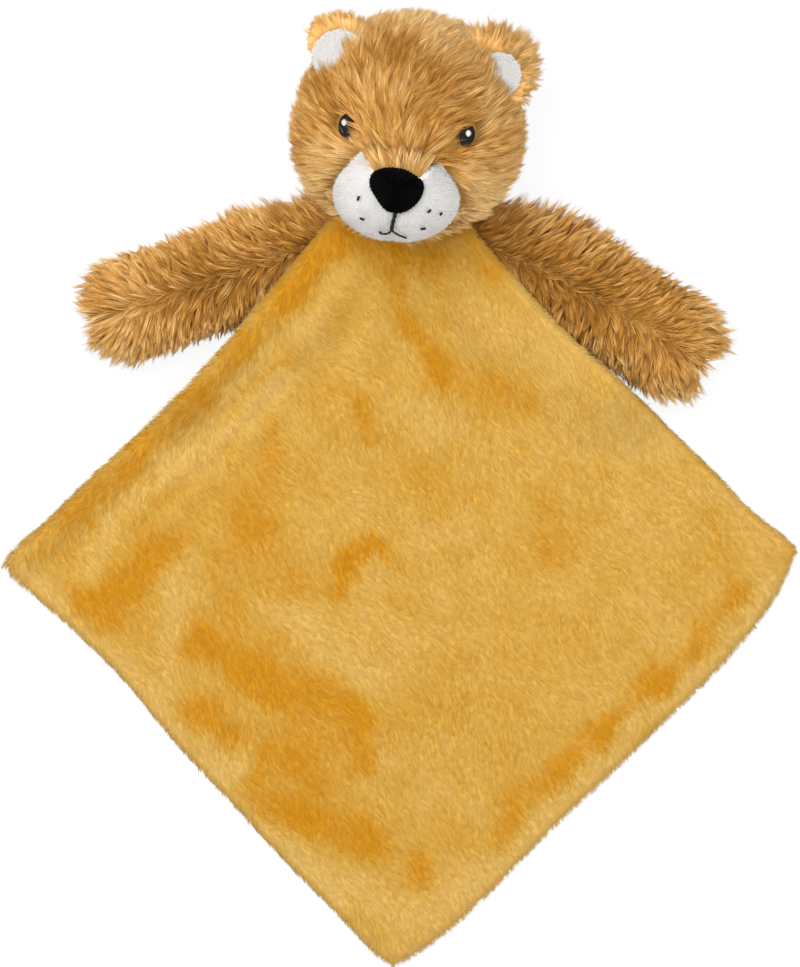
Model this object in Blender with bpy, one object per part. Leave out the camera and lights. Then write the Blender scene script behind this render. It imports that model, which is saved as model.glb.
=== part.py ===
"""Comfort blanket with a stuffed lion head and two stuffed arms, lying on its back.

Metres, +Z up, the way the face looks, and +Y towards the head. The origin is the middle of the
blanket's back, on the surface that the toy lies on. Each plush cover is drawn to the middle of its
pile, so its solid is the cloth and half the length of the fur.
"""

import math

import bmesh
import bpy
from mathutils import Matrix, Vector

MM = 0.001
UP = Vector((0, 0, 1))

# Clearances
GAP = 0.3 * MM
NECK_GAP = 0.5 * MM
SWING_GAP = 0.8 * MM
REST_FLAT = 0.5 * MM
OVERRUN = 20 * MM
WELD = 0.001 * MM

# Blanket
BLANKET_HALF_WIDTH = 212 * MM
BLANKET_HALF_LENGTH = 219 * MM
TOP_CORNER_SHARES = (0.013, 1.0)
RIGHT_CORNER_SHARES = (1.0, 0.017)
LEFT_CORNER_SHARES = (-0.997, -0.012)
BOTTOM_CORNER_SHARES = (-0.02, -1.0)
UPPER_LEFT_BOW = -7.7 * MM
UPPER_RIGHT_BOW = -10 * MM
LOWER_LEFT_BOW = -3.4 * MM
LOWER_RIGHT_BOW = 12.5 * MM
UPPER_LEFT_SHARES = (0, 0, 0.16, 0.43, 0.69, 0.96, 1, 0.78, 0.56, 0.42, 0)
UPPER_RIGHT_SHARES = (0, 0.3, 0.75, 0.9, 1, 0.88, 0.63, 0.58, 0.51, 0.48, -0.05)
LOWER_LEFT_SHARES = (-0.7, 0.18, 0.85, 1, 0.35, 0, -0.06, -0.32, -0.24, -0.18, -0.45)
LOWER_RIGHT_SHARES = (0.12, 0.69, 0.96, 1, 0.92, 0.85, 0.72, 0.67, 0.66, 0.48, 0.12)
CORNER_ROUND_SHARE = 0.02
CORNER_ROUND_POWER = 20
PANEL_THICKNESS = 2.6 * MM
SEAM_WRAP = 3.4 * MM
SEAM_HEIGHT_SHARE = 0.8
ROLL_WIDTH = 24 * MM
ROLL_HEIGHT = 1.6 * MM
ROLL_CREST_SHARE = 0.5
INNER_CELLS = 13

# Folds of the blanket under the chin
CHIN_VALLEY_REACH = 72 * MM
RIDGE_FALL = 46 * MM
FOLD_MERGE = 6 * MM
FOLD_HEIGHT = 3.2 * MM
FOLD_REACH = 150 * MM
FOLD_START_SHARE = 0.16
FOLDS_PER_TURN = 14

# Neck
NECK_DROP = 46.5 * MM
NECK_OFFSET = -1 * MM
NECK_RADIUS = 12 * MM
NECK_INSET = 2 * MM
NECKLINE_GAP = 1 * MM
NECK_SEGMENTS = 18
NECK_RINGS = 10
NECKLINE_SEGMENTS = 48

# Head
HEAD_HALF_WIDTH = 57.5 * MM
HEAD_HALF_HEIGHT = 56 * MM
HEAD_HALF_DEPTH = 40 * MM
HEAD_TILT = math.radians(5)
CHEEK_SHARE = 0.03
CROWN_SHARE = 0.02
COVER_THICKNESS = 4 * MM
SEAM_BEHIND_MIDDLE = 4 * MM
HEAD_SEGMENTS = 28
HEAD_RINGS = 6

# Muzzle
MUZZLE_HALF_WIDTH = 34 * MM
MUZZLE_HALF_HEIGHT = 24.5 * MM
MUZZLE_HALF_DEPTH = 26 * MM
MUZZLE_OFFSET = -2.4 * MM
MUZZLE_BELOW_MIDDLE = 37.5 * MM
MUZZLE_FORWARD = 26 * MM
MUZZLE_THICKNESS = 3 * MM
BRIDGE_TOP_HALF_WIDTH = 20 * MM
BRIDGE_LOW_HALF_WIDTH = 12 * MM
BRIDGE_LOW_SHARE = 0.46
MUZZLE_SEGMENTS = 24
MUZZLE_RINGS = 12

# Nose
NOSE_HALF_WIDTH = 14.5 * MM
NOSE_HALF_HEIGHT = 12.6 * MM
NOSE_ABOVE_MUZZLE = 3.6 * MM
NOSE_RIM = 1.4 * MM
NOSE_CROWN = 5 * MM
NOSE_CORNER_SHARE = 0.16
NOSE_CORNERS = 3

# Embroidery
EYE_SPREAD = 32 * MM
EYE_BELOW_MIDDLE = 1.5 * MM
EYE_HALF_WIDTH = 3.8 * MM
EYE_HALF_HEIGHT = 6 * MM
EYE_RIM = 0.6 * MM
EYE_CROWN = 0.8 * MM
GLINT_HALF_SIZE = 1.4 * MM
GLINT_THICKNESS = 0.4 * MM
GLINT_RAISE_SHARE = 0.14
THREAD_RADIUS = 0.8 * MM
MOUTH_TOP_GAP = 0.6 * MM
MOUTH_DROP = 8.5 * MM
MOUTH_HALF_WIDTH = 7 * MM
MOUTH_SAG = 2.2 * MM
MOUTH_SEGMENTS = 7
THREAD_SIDES = 6
PAD_SEGMENTS = 18
PAD_RINGS = 3
EYE_SEGMENTS = 16
GLINT_SEGMENTS = 12
STITCH_SEGMENTS = 10
STITCH_HALF_LENGTH = 1.6 * MM
STITCH_HALF_WIDTH = 0.8 * MM
STITCH_THICKNESS = 0.8 * MM
STITCH_SPREAD_SHARE = 0.8
LEFT_STITCH_SHARES = ((-0.55, -0.12), (-0.5, -0.52))
RIGHT_STITCH_SHARES = ((0.58, -0.24), (0.92, -0.3), (0.46, -0.62))

# Ears
EAR_HALF_WIDTH = 17 * MM
EAR_HEIGHT = 20 * MM
EAR_THICKNESS = 3.2 * MM
EAR_CUP = 2.4 * MM
EAR_ANGLE = math.radians(38)
EAR_BEHIND_MIDDLE = 1 * MM
EAR_SEAT_GAP = 0.3 * MM
EAR_BASE_SHARE = 0.12
EAR_MIDDLE_SHARE = 0.33
EAR_EDGE_POWER = 6
LINING_SHARE = 0.74
LINING_RIM = 0.5 * MM
LINING_CROWN = 1.6 * MM

# Arms
ARM_LENGTH = 150 * MM
ARM_ROOT_HALF_WIDTH = 15 * MM
ARM_ROOT_THICKNESS = 16.6 * MM
ARM_PAW_HALF_WIDTH = 25 * MM
ARM_PAW_THICKNESS = 32 * MM
ARM_SWELL_START_SHARE = 0.5
ARM_SWELL_END_SHARE = 0.92
ARM_COVERED_SHARE = 0.72
ARM_WIDEN_SHARE = 0.36
ARM_WALL = 2.6 * MM
ARM_SPREAD = 32 * MM
ARM_BELOW_NECK = 3 * MM
LEFT_ARM_BEND = math.radians(-6)
RIGHT_ARM_BEND = math.radians(-14)
ARM_SWING_DOWN = math.radians(5)
LEFT_ARM_HEADING = math.radians(202)
RIGHT_ARM_HEADING = math.radians(-21)
ARM_RINGS = 13
ARM_SIDES = 6
ARM_SQUARE_SHARE = 0.86

# Surface roughness
PLUSH_ROUGHNESS = 0.9
LONG_PILE_ROUGHNESS = 0.95
THREAD_ROUGHNESS = 0.5

# Colours, as linear light
MUSTARD = (0.72, 0.40, 0.09, 1)
TAN = (0.53, 0.28, 0.10, 1)
WHITE = (0.80, 0.78, 0.75, 1)
BLACK = (0.006, 0.006, 0.008, 1)
DARK_BROWN = (0.03, 0.016, 0.008, 1)
STUFFING_WHITE = (0.88, 0.88, 0.86, 1)


def smooth_share(value, low, high):
    """0 below low and 1 above high, with an S-shaped rise between."""
    share = min(max((value - low) / (high - low), 0), 1)
    return share * share * (3 - 2 * share)


def blend(first, second, share):
    return first + (second - first) * share


# Objects and materials


def clear_scene():
    for thing in list(bpy.data.objects):
        bpy.data.objects.remove(thing)


def finish_material(name, colour, roughness):
    material = bpy.data.materials.new(name)
    material.use_nodes = True
    shader = material.node_tree.nodes["Principled BSDF"]
    shader.inputs["Base Color"].default_value = colour
    shader.inputs["Roughness"].default_value = roughness
    shader.inputs["Metallic"].default_value = 0
    return material


def empty(name, location, turn=0, parent=None):
    frame = bpy.data.objects.new(name, None)
    frame.location = location
    frame.rotation_euler = (0, 0, turn)
    frame.parent = parent
    bpy.context.scene.collection.objects.link(frame)
    return frame


def piece(name, mesh, material=None, parent=None, location=(0, 0, 0)):
    """One sub-part from a bmesh, with its normals facing out and its faces shaded smooth."""
    bmesh.ops.remove_doubles(mesh, verts=mesh.verts, dist=WELD)
    bmesh.ops.recalc_face_normals(mesh, faces=mesh.faces)
    data = bpy.data.meshes.new(name)
    mesh.to_mesh(data)
    mesh.free()
    data.shade_smooth()
    body = bpy.data.objects.new(name, data)
    body.location = location
    body.parent = parent
    if material:
        data.materials.append(material)
    bpy.context.scene.collection.objects.link(body)
    return body


def cutter(name, mesh, parent=None, location=(0, 0, 0)):
    tool = piece(name, mesh, parent=parent, location=location)
    tool.hide_render = True
    tool.display_type = "WIRE"
    return tool


def boolean(body, tool, operation="DIFFERENCE"):
    change = body.modifiers.new(tool.name, "BOOLEAN")
    change.operation = operation
    change.solver = "EXACT"
    change.object = tool


# Shapes


def ellipsoid(radii, segments, rings, middle=(0, 0, 0)):
    mesh = bmesh.new()
    place = Matrix.Translation(middle) @ Matrix.Diagonal((*radii, 1))
    bmesh.ops.create_uvsphere(mesh, u_segments=segments, v_segments=rings, radius=1, matrix=place)
    return mesh


def block(low, high):
    mesh = bmesh.new()
    low, high = Vector(low), Vector(high)
    size = high - low
    place = Matrix.Translation((low + high) / 2) @ Matrix.Diagonal((*size, 1))
    bmesh.ops.create_cube(mesh, size=1, matrix=place)
    return mesh


def prism(outline, low, high):
    """The outline, a list of (x, y), extruded from low to high."""
    mesh = bmesh.new()
    floor = [mesh.verts.new((x, y, low)) for x, y in outline]
    roof = [mesh.verts.new((x, y, high)) for x, y in outline]
    mesh.faces.new(floor)
    mesh.faces.new(roof)
    for i in range(len(outline)):
        j = (i + 1) % len(outline)
        mesh.faces.new((floor[i], floor[j], roof[j], roof[i]))
    return mesh


def skin_between(mesh, first, second, closed):
    """Faces between two rows of vertices of one length."""
    count = len(first)
    for i in range(count if closed else count - 1):
        j = (i + 1) % count
        corners = list(dict.fromkeys((first[i], first[j], second[j], second[i])))
        if len(corners) > 2:
            mesh.faces.new(corners)


def grid_verts(mesh, rows):
    return [[mesh.verts.new(point) for point in row] for row in rows]


def shell(outer_rows, inner_rows, closed):
    """A wall between two grids of points. The rows run from a pole to the rim, or, where they
    are open, each row's two ends lie on the rim."""
    mesh = bmesh.new()
    outer = grid_verts(mesh, outer_rows)
    inner = grid_verts(mesh, inner_rows)
    for rows in (outer, inner):
        for first, second in zip(rows, rows[1:]):
            skin_between(mesh, first, second, closed)
    if closed:
        skin_between(mesh, outer[-1], inner[-1], closed)
    else:
        for side in (0, -1):
            skin_between(mesh, [row[side] for row in outer], [row[side] for row in inner], closed)
    return mesh


def slab(outline, middle, low, high, rings):
    """A pad over the outline, a list of (x, y): low and high give its two faces' heights from x, y
    and the share of the way from its middle to its edge."""
    mesh = bmesh.new()
    layers = []
    for height in (low, high):
        rows = []
        for step in range(rings + 1):
            share = step / rings
            row = []
            for x, y in outline:
                px = blend(middle[0], x, share)
                py = blend(middle[1], y, share)
                row.append((px, py, height(px, py, share)))
            rows.append(row)
        layers.append(grid_verts(mesh, rows))
    for rows in layers:
        for first, second in zip(rows, rows[1:]):
            skin_between(mesh, first, second, True)
    skin_between(mesh, layers[0][-1], layers[1][-1], True)
    return mesh


def oval(half_width, half_height, middle, segments):
    turns = [math.tau * i / segments for i in range(segments)]
    return [(middle[0] + half_width * math.cos(t), middle[1] + half_height * math.sin(t)) for t in turns]


def tube(points, radius, sides):
    """A round thread along the points, closed at both ends."""
    mesh = bmesh.new()
    rings = []
    for i, point in enumerate(points):
        before = points[max(i - 1, 0)]
        after = points[min(i + 1, len(points) - 1)]
        along = (after - before).normalized()
        across = along.cross(UP).normalized()
        over = across.cross(along)
        ring = []
        for k in range(sides):
            turn = math.tau * k / sides
            ring.append(mesh.verts.new(point + radius * (across * math.cos(turn) + over * math.sin(turn))))
        rings.append(ring)
    for first, second in zip(rings, rings[1:]):
        skin_between(mesh, first, second, True)
    mesh.faces.new(rings[0])
    mesh.faces.new(rings[-1])
    return mesh


# Neck


def neck_place():
    """The middle of the neck, where the blanket's trimmed corner is sewn to the head."""
    height = ARM_ROOT_THICKNESS + GAP + PANEL_THICKNESS + GAP / 2
    return Vector((NECK_OFFSET, BLANKET_HALF_LENGTH - NECK_DROP, height))


def head_up():
    return Vector((math.sin(HEAD_TILT), math.cos(HEAD_TILT), 0))


def neck_ball(radius):
    return ellipsoid((radius, radius, radius), NECK_SEGMENTS, NECK_RINGS)


def make_neck(material):
    """The round stuffed neck, and the tool that cuts its seat in the pieces round it."""
    piece("neck_stub", neck_ball(NECK_RADIUS), material, location=neck_place())
    return cutter("neck_seat_cutter", neck_ball(NECK_RADIUS + NECK_GAP), location=neck_place())


# Blanket


def corner(shares):
    return Vector((shares[0] * BLANKET_HALF_WIDTH, shares[1] * BLANKET_HALF_LENGTH))


def outward(start, end):
    """The flat direction square to an edge of the blanket, pointing away from its middle."""
    along = (end - start).normalized()
    side = Vector((along.y, -along.x))
    return side if side.dot(start + end) > 0 else -side


def along_edge(shares, place):
    """The share of an edge's bow at a place along it from 0 to 1, on a smooth line through the
    shares, which are evenly spaced."""
    last = len(shares) - 1
    step = min(int(place * last), last - 1)
    part = place * last - step
    first, second = shares[step], shares[step + 1]
    before, after = shares[max(step - 1, 0)], shares[min(step + 2, last)]
    from_first = first + (second - before) / 2 * part
    from_second = second - (after - first) / 2 * (1 - part)
    return blend(from_first, from_second, smooth_share(part, 0, 1))


def blanket_place(u, v):
    """The flat place at u along the upper right edge and v along the upper left one, 0 to 1."""
    across, down = 2 * u - 1, 2 * v - 1
    u = (across * (1 - CORNER_ROUND_SHARE * down**CORNER_ROUND_POWER) + 1) / 2
    v = (down * (1 - CORNER_ROUND_SHARE * across**CORNER_ROUND_POWER) + 1) / 2
    top, right = corner(TOP_CORNER_SHARES), corner(RIGHT_CORNER_SHARES)
    left, bottom = corner(LEFT_CORNER_SHARES), corner(BOTTOM_CORNER_SHARES)
    point = (top * (1 - u) + right * u) * (1 - v) + (left * (1 - u) + bottom * u) * v
    point += outward(top, left) * UPPER_LEFT_BOW * along_edge(UPPER_LEFT_SHARES, v) * (1 - u)
    point += outward(top, right) * UPPER_RIGHT_BOW * along_edge(UPPER_RIGHT_SHARES, u) * (1 - v)
    point += outward(left, bottom) * LOWER_LEFT_BOW * along_edge(LOWER_LEFT_SHARES, u) * v
    point += outward(right, bottom) * LOWER_RIGHT_BOW * along_edge(LOWER_RIGHT_SHARES, v) * u
    return point


def blanket_side():
    return (corner(RIGHT_CORNER_SHARES) - corner(BOTTOM_CORNER_SHARES)).length


def shoulder_place(side):
    neck = neck_place()
    return Vector((neck.x + side * ARM_SPREAD, neck.y - ARM_BELOW_NECK, 0))


def merged(first, second):
    """The higher of two heights, with the crease where they meet made round."""
    near = max(FOLD_MERGE - abs(first - second), 0) / FOLD_MERGE
    raised = smooth_share(min(first, second), 0, FOLD_MERGE)
    return max(first, second) + near * near * raised * FOLD_MERGE / 4


def lift_over_arm(x, y, side, heading, bend):
    """The height at which the cloth passes over the arm's covered length, also when the arm swings
    down a little, and how it falls away beside and beyond it."""
    shoulder = shoulder_place(side)
    dx, dy = x - shoulder.x, y - shoulder.y
    mean = heading + bend / 2
    along = dx * math.cos(mean) + dy * math.sin(mean)
    s = min(max(along, 0), ARM_COVERED_SHARE * ARM_LENGTH)
    bowed = bend * s * (s / ARM_LENGTH - 1) / 2
    across = abs(dy * math.cos(mean) - dx * math.sin(mean) - bowed)
    swing = s * math.sin(ARM_SWING_DOWN)
    outside = math.hypot(max(across - arm_size(s, 0)[0] - swing, 0), along - s)
    crest = arm_thickness(s + swing) + blend(GAP, SWING_GAP, s / ARM_LENGTH)
    return crest * (1 - smooth_share(outside, 0, RIDGE_FALL))


def lift(x, y):
    """The height of the blanket's back face: it hangs from the neck and lies over the arms, with a
    valley below the chin and folds that run out from the neck."""
    neck = neck_place()
    reach = math.hypot(x - neck.x, y - neck.y)
    angle = math.atan2(x - neck.x, neck.y - y)
    root_height = ARM_ROOT_THICKNESS + GAP
    height = root_height * (1 - smooth_share(reach, 0, CHIN_VALLEY_REACH))
    arms = ((-1, LEFT_ARM_HEADING, LEFT_ARM_BEND), (1, RIGHT_ARM_HEADING, RIGHT_ARM_BEND))
    for side, heading, bend in arms:
        height = merged(height, lift_over_arm(x, y, side, heading, bend))
    begin = FOLD_START_SHARE * FOLD_REACH
    window = smooth_share(reach, begin, 3 * begin) * (1 - smooth_share(reach, 3 * begin, FOLD_REACH))
    return height + FOLD_HEIGHT * window * (1 - math.cos(FOLDS_PER_TURN * angle)) / 2


def grid_shares(edge_steps):
    """Places of the blanket's grid lines, closer together near the edges."""
    side = blanket_side()
    steps = [step / side for step in edge_steps]
    first, last = steps[-1], 1 - steps[-1]
    inner = [blend(first, last, i / INNER_CELLS) for i in range(1, INNER_CELLS)]
    return steps + inner + [1 - step for step in reversed(steps)]


def panel(lines, low, high):
    """A sheet over the grid lines: low and high give its two faces' heights from x, y and the
    distance to the nearest edge. The faces of both are cut along the same diagonals."""
    mesh = bmesh.new()
    side = blanket_side()
    layers = []
    for height in (low, high):
        rows = []
        for v in lines:
            row = []
            for u in lines:
                x, y = blanket_place(u, v)
                edge = min(u, 1 - u, v, 1 - v) * side
                row.append((x, y, height(x, y, edge)))
            rows.append(row)
        layers.append(grid_verts(mesh, rows))
    count = len(lines)
    for rows in layers:
        for i in range(count - 1):
            for j in range(count - 1):
                a, b, c, d = rows[i][j], rows[i][j + 1], rows[i + 1][j + 1], rows[i + 1][j]
                mesh.faces.new((a, b, c))
                mesh.faces.new((a, c, d))
    borders = []
    for rows in layers:
        loop = rows[0][:-1] + [row[-1] for row in rows[:-1]]
        loop += rows[-1][:0:-1] + [row[0] for row in rows[:0:-1]]
        borders.append(loop)
    skin_between(mesh, borders[0], borders[1], True)
    return mesh


def make_blanket(material, neck_seat):
    """Two panels with one outline. The front one wraps round the edge, and both are trimmed at
    the neckline, just outside the head, so that it can turn."""
    edge_steps = (0, SEAM_WRAP, ROLL_WIDTH * ROLL_CREST_SHARE, ROLL_WIDTH)

    def back_low(x, y, edge):
        return lift(x, y)

    def back_high(x, y, edge):
        return lift(x, y) + PANEL_THICKNESS

    def front_low(x, y, edge):
        raised = min(edge / SEAM_WRAP, 1)
        return lift(x, y) + raised * (PANEL_THICKNESS + GAP)

    def front_high(x, y, edge):
        full = 2 * PANEL_THICKNESS + GAP
        seam = SEAM_HEIGHT_SHARE * PANEL_THICKNESS
        rise = math.sqrt(min(edge / SEAM_WRAP, 1))
        roll = ROLL_HEIGHT * math.sin(math.pi * min(edge / ROLL_WIDTH, 1))
        return lift(x, y) + blend(seam, full, rise) + roll

    lines = grid_shares(edge_steps)
    back = piece("blanket_back_panel", panel(lines[1:-1], back_low, back_high), material)
    front = piece("blanket_front_panel", panel(lines, front_low, front_high), material)
    middle = neck_place() + head_up() * (HEAD_HALF_HEIGHT - NECK_INSET)
    radius = HEAD_HALF_WIDTH + NECKLINE_GAP
    ring = oval(radius, radius, middle, NECKLINE_SEGMENTS)
    neckline = cutter("neckline_cutter", prism(ring, -OVERRUN, BLANKET_HALF_LENGTH))
    for sheet in (back, front):
        boolean(sheet, neckline)
        boolean(sheet, neck_seat)


# Head


def shape_head(point):
    """The cheeks swell a little below the middle and the crown narrows above it."""
    x, y, z = point
    low = min(max(-y / HEAD_HALF_HEIGHT, 0), 1)
    high = min(max(y / HEAD_HALF_HEIGHT, 0), 1)
    return Vector((x * (1 + CHEEK_SHARE * math.sin(math.pi * low) - CROWN_SHARE * high), y, z))


def head_radii(inset):
    return (HEAD_HALF_WIDTH - inset, HEAD_HALF_HEIGHT - inset, HEAD_HALF_DEPTH - inset)


def dome_rows(inset, rim, front):
    """Rings of points from the pole of the head's front or back to the seam."""
    a, b, c = head_radii(inset)
    side = 1 if front else -1
    rim_angle = math.acos(side * rim / c)
    rows = []
    for ring in range(HEAD_RINGS + 1):
        tip = rim_angle * ring / HEAD_RINGS
        row = []
        for k in range(HEAD_SEGMENTS):
            turn = math.tau * k / HEAD_SEGMENTS
            flat = math.sin(tip)
            point = (a * flat * math.cos(turn), b * flat * math.sin(turn), side * c * math.cos(tip))
            x, y, z = shape_head(point)
            row.append((x, y, max(z, inset + REST_FLAT - HEAD_HALF_DEPTH)))
        rows.append(row)
    return rows


def head_solid(inset):
    """The whole head, smaller by the inset, and pressed flat at its back."""
    seam = -SEAM_BEHIND_MIDDLE
    rows = dome_rows(inset, seam, True) + dome_rows(inset, seam, False)[-2::-1]
    mesh = bmesh.new()
    rings = grid_verts(mesh, rows)
    for first, second in zip(rings, rings[1:]):
        skin_between(mesh, first, second, True)
    return mesh


def muzzle_middle():
    return Vector((MUZZLE_OFFSET, -MUZZLE_BELOW_MIDDLE, MUZZLE_FORWARD))


def muzzle_solid(inset, segments=MUZZLE_SEGMENTS, rings=MUZZLE_RINGS):
    radii = (MUZZLE_HALF_WIDTH - inset, MUZZLE_HALF_HEIGHT - inset, MUZZLE_HALF_DEPTH - inset)
    return ellipsoid(radii, segments, rings, muzzle_middle())


def dome_height(x, y, radii, middle=(0, 0, 0)):
    """The height of an ellipsoid's front face above x, y."""
    left = 1 - ((x - middle[0]) / radii[0]) ** 2 - ((y - middle[1]) / radii[1]) ** 2
    return middle[2] + radii[2] * math.sqrt(max(left, 0))


def head_front(x, y):
    return dome_height(x, y, head_radii(0))


def muzzle_front(x, y):
    radii = (MUZZLE_HALF_WIDTH, MUZZLE_HALF_HEIGHT, MUZZLE_HALF_DEPTH)
    return dome_height(x, y, radii, muzzle_middle())


def make_head_covers(material, frame, neck_seat):
    """The face and the back of the head, sewn together over the crown behind the ears."""
    seam = -SEAM_BEHIND_MIDDLE
    cavity = cutter("face_opening_cutter", muzzle_solid(MUZZLE_THICKNESS), frame)
    face = shell(
        dome_rows(0, seam + GAP / 2, True), dome_rows(COVER_THICKNESS, seam + GAP / 2, True), True
    )
    face_cover = piece("head_face_cover", face, material, frame)
    boolean(face_cover, cavity)
    back = shell(
        dome_rows(0, seam - GAP / 2, False), dome_rows(COVER_THICKNESS, seam - GAP / 2, False), True
    )
    back_cover = piece("head_back_cover", back, material, frame)
    boolean(back_cover, neck_seat)


def make_head_stuffing(material, frame, neck_seat):
    stuffing = piece("head_stuffing", head_solid(COVER_THICKNESS + GAP), material, frame)
    bump = cutter("muzzle_stuffing_form", muzzle_solid(MUZZLE_THICKNESS + GAP), frame)
    boolean(stuffing, bump, "UNION")
    boolean(stuffing, neck_seat)


def bridge_outline():
    """The tan wedge that comes down between the two pads to the top of the nose."""
    middle = muzzle_middle()
    top = middle.y + MUZZLE_HALF_HEIGHT + OVERRUN
    crest = middle.y + MUZZLE_HALF_HEIGHT
    low = middle.y + BRIDGE_LOW_SHARE * MUZZLE_HALF_HEIGHT
    left, right = middle.x - BRIDGE_TOP_HALF_WIDTH, middle.x + BRIDGE_TOP_HALF_WIDTH
    low_left, low_right = middle.x - BRIDGE_LOW_HALF_WIDTH, middle.x + BRIDGE_LOW_HALF_WIDTH
    return [(low_left, low), (low_right, low), (right, crest), (right, top), (left, top), (left, crest)]


def make_muzzle(white, tan, frame):
    inner = cutter("muzzle_inner_cutter", muzzle_solid(MUZZLE_THICKNESS), frame)
    head_tool = cutter("head_form_cutter", head_solid(-GAP), frame)
    middle = muzzle_middle()
    far = 2 * MUZZLE_HALF_WIDTH
    wedge = bridge_outline()
    wide = []
    for x, y in wedge:
        below = GAP if y < middle.y + MUZZLE_HALF_HEIGHT else 0
        wide.append((x + math.copysign(GAP, x - middle.x), y - below))
    wide_wedge = cutter("bridge_clearance_cutter", prism(wide, 0, far), frame)
    for name, side in (("left", -1), ("right", 1)):
        pad = piece(f"muzzle_{name}_panel", muzzle_solid(0), white, frame)
        boolean(pad, inner)
        boolean(pad, head_tool)
        edge = middle.x + side * GAP / 2
        low = (min(edge, edge - side * far), middle.y - far, -far)
        high = (max(edge, edge - side * far), middle.y + far, far)
        boolean(pad, cutter(f"muzzle_{name}_half_cutter", block(low, high), frame))
        boolean(pad, wide_wedge)
    bridge = piece("nose_bridge_panel", muzzle_solid(0), tan, frame)
    boolean(bridge, inner)
    boolean(bridge, head_tool)
    boolean(bridge, cutter("bridge_form", prism(wedge, 0, far), frame), "INTERSECT")


def nose_outline():
    middle = muzzle_middle()
    centre_y = middle.y + NOSE_ABOVE_MUZZLE
    outline = []
    for i in range(PAD_SEGMENTS):
        turn = math.tau * i / PAD_SEGMENTS
        reach = 1 + NOSE_CORNER_SHARE * math.cos(NOSE_CORNERS * (turn + math.pi / 2))
        x = middle.x + NOSE_HALF_WIDTH * reach * math.cos(turn)
        outline.append((x, centre_y + NOSE_HALF_HEIGHT * reach * math.sin(turn)))
    return outline


def make_nose(material, frame):
    def low(x, y, share):
        return muzzle_front(x, y) + GAP

    def high(x, y, share):
        crown = NOSE_CROWN * math.sqrt(max(1 - share * share, 0))
        return low(x, y, share) + NOSE_RIM + crown

    middle = (MUZZLE_OFFSET, muzzle_middle().y + NOSE_ABOVE_MUZZLE)
    piece("nose_pad", slab(nose_outline(), middle, low, high, PAD_RINGS), material, frame)


def make_eyes(dark, white, frame):
    def low(x, y, share):
        return head_front(x, y) + GAP

    def high(x, y, share):
        return low(x, y, share) + EYE_RIM + EYE_CROWN * math.sqrt(max(1 - share * share, 0))

    def glint_low(x, y, share):
        return low(x, y, share) + EYE_RIM + EYE_CROWN + GAP

    def glint_high(x, y, share):
        return glint_low(x, y, share) + GLINT_THICKNESS

    for name, side in (("left", -1), ("right", 1)):
        middle = (side * EYE_SPREAD, -EYE_BELOW_MIDDLE)
        rim = oval(EYE_HALF_WIDTH, EYE_HALF_HEIGHT, middle, EYE_SEGMENTS)
        piece(f"{name}_eye_embroidery", slab(rim, middle, low, high, 2), dark, frame)
        glint = (middle[0], middle[1] + GLINT_RAISE_SHARE * EYE_HALF_HEIGHT)
        spot = oval(GLINT_HALF_SIZE, GLINT_HALF_SIZE, glint, GLINT_SEGMENTS)
        piece(f"{name}_eye_glint", slab(spot, glint, glint_low, glint_high, 1), white, frame)


def on_muzzle(x, y, above):
    """A point over the muzzle, off its face by the given height along its normal."""
    middle = muzzle_middle()
    radii = (MUZZLE_HALF_WIDTH, MUZZLE_HALF_HEIGHT, MUZZLE_HALF_DEPTH)
    point = Vector((x, y, dome_height(x, y, radii, middle)))
    normal = Vector([(point[i] - middle[i]) / radii[i] ** 2 for i in range(3)]).normalized()
    return point + normal * above


def make_mouth(material, frame):
    """A short line down from the nose and a curve to each side, stitched in one dark thread."""
    middle = muzzle_middle()
    nose_tip = min(y for _, y in nose_outline())
    above = GAP + THREAD_RADIUS
    start = nose_tip - THREAD_RADIUS - MOUTH_TOP_GAP
    join = start - MOUTH_DROP
    line = []
    smile = []
    for i in range(MOUTH_SEGMENTS):
        share = i / (MOUTH_SEGMENTS - 1)
        line.append(on_muzzle(middle.x, blend(start, join, share), above))
        across = 2 * share - 1
        dip = MOUTH_SAG * math.sin(math.pi * abs(across))
        smile.append(on_muzzle(middle.x + MOUTH_HALF_WIDTH * across, join - dip, above))
    mouth = piece("mouth_embroidery", tube(line, THREAD_RADIUS, THREAD_SIDES), material, frame)
    curve = cutter("mouth_curve_form", tube(smile, THREAD_RADIUS, THREAD_SIDES), frame)
    boolean(mouth, curve, "UNION")


def make_stitches(material, frame):
    middle = muzzle_middle()
    spread = STITCH_SPREAD_SHARE * MUZZLE_HALF_WIDTH

    def low(x, y, share):
        return muzzle_front(x, y) + GAP

    def high(x, y, share):
        return low(x, y, share) + STITCH_THICKNESS * (1 - share * share / 2)

    for name, places in (("left", LEFT_STITCH_SHARES), ("right", RIGHT_STITCH_SHARES)):
        for number, (across, up) in enumerate(places, 1):
            place = (middle.x + across * spread, middle.y + up * MUZZLE_HALF_HEIGHT)
            spot = oval(STITCH_HALF_WIDTH, STITCH_HALF_LENGTH, place, STITCH_SEGMENTS)
            piece(f"whisker_stitch_{name}_{number}", slab(spot, place, low, high, 1), material, frame)


def ear_outline(grow):
    """A half oval above the seam, with a shallow round base that follows the head."""
    outline = []
    for i in range(PAD_SEGMENTS):
        turn = math.tau * i / PAD_SEGMENTS
        height = EAR_HEIGHT * (math.sin(turn) if math.sin(turn) > 0 else EAR_BASE_SHARE * math.sin(turn))
        outline.append((grow * EAR_HALF_WIDTH * math.cos(turn), grow * height))
    return outline


def ear_front(x, y):
    """The ear's front face: dished, with its rim coming forward."""
    out = (x / EAR_HALF_WIDTH) ** 2 + (y / EAR_HEIGHT) ** 2
    return EAR_THICKNESS / 2 + EAR_CUP * out


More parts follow.
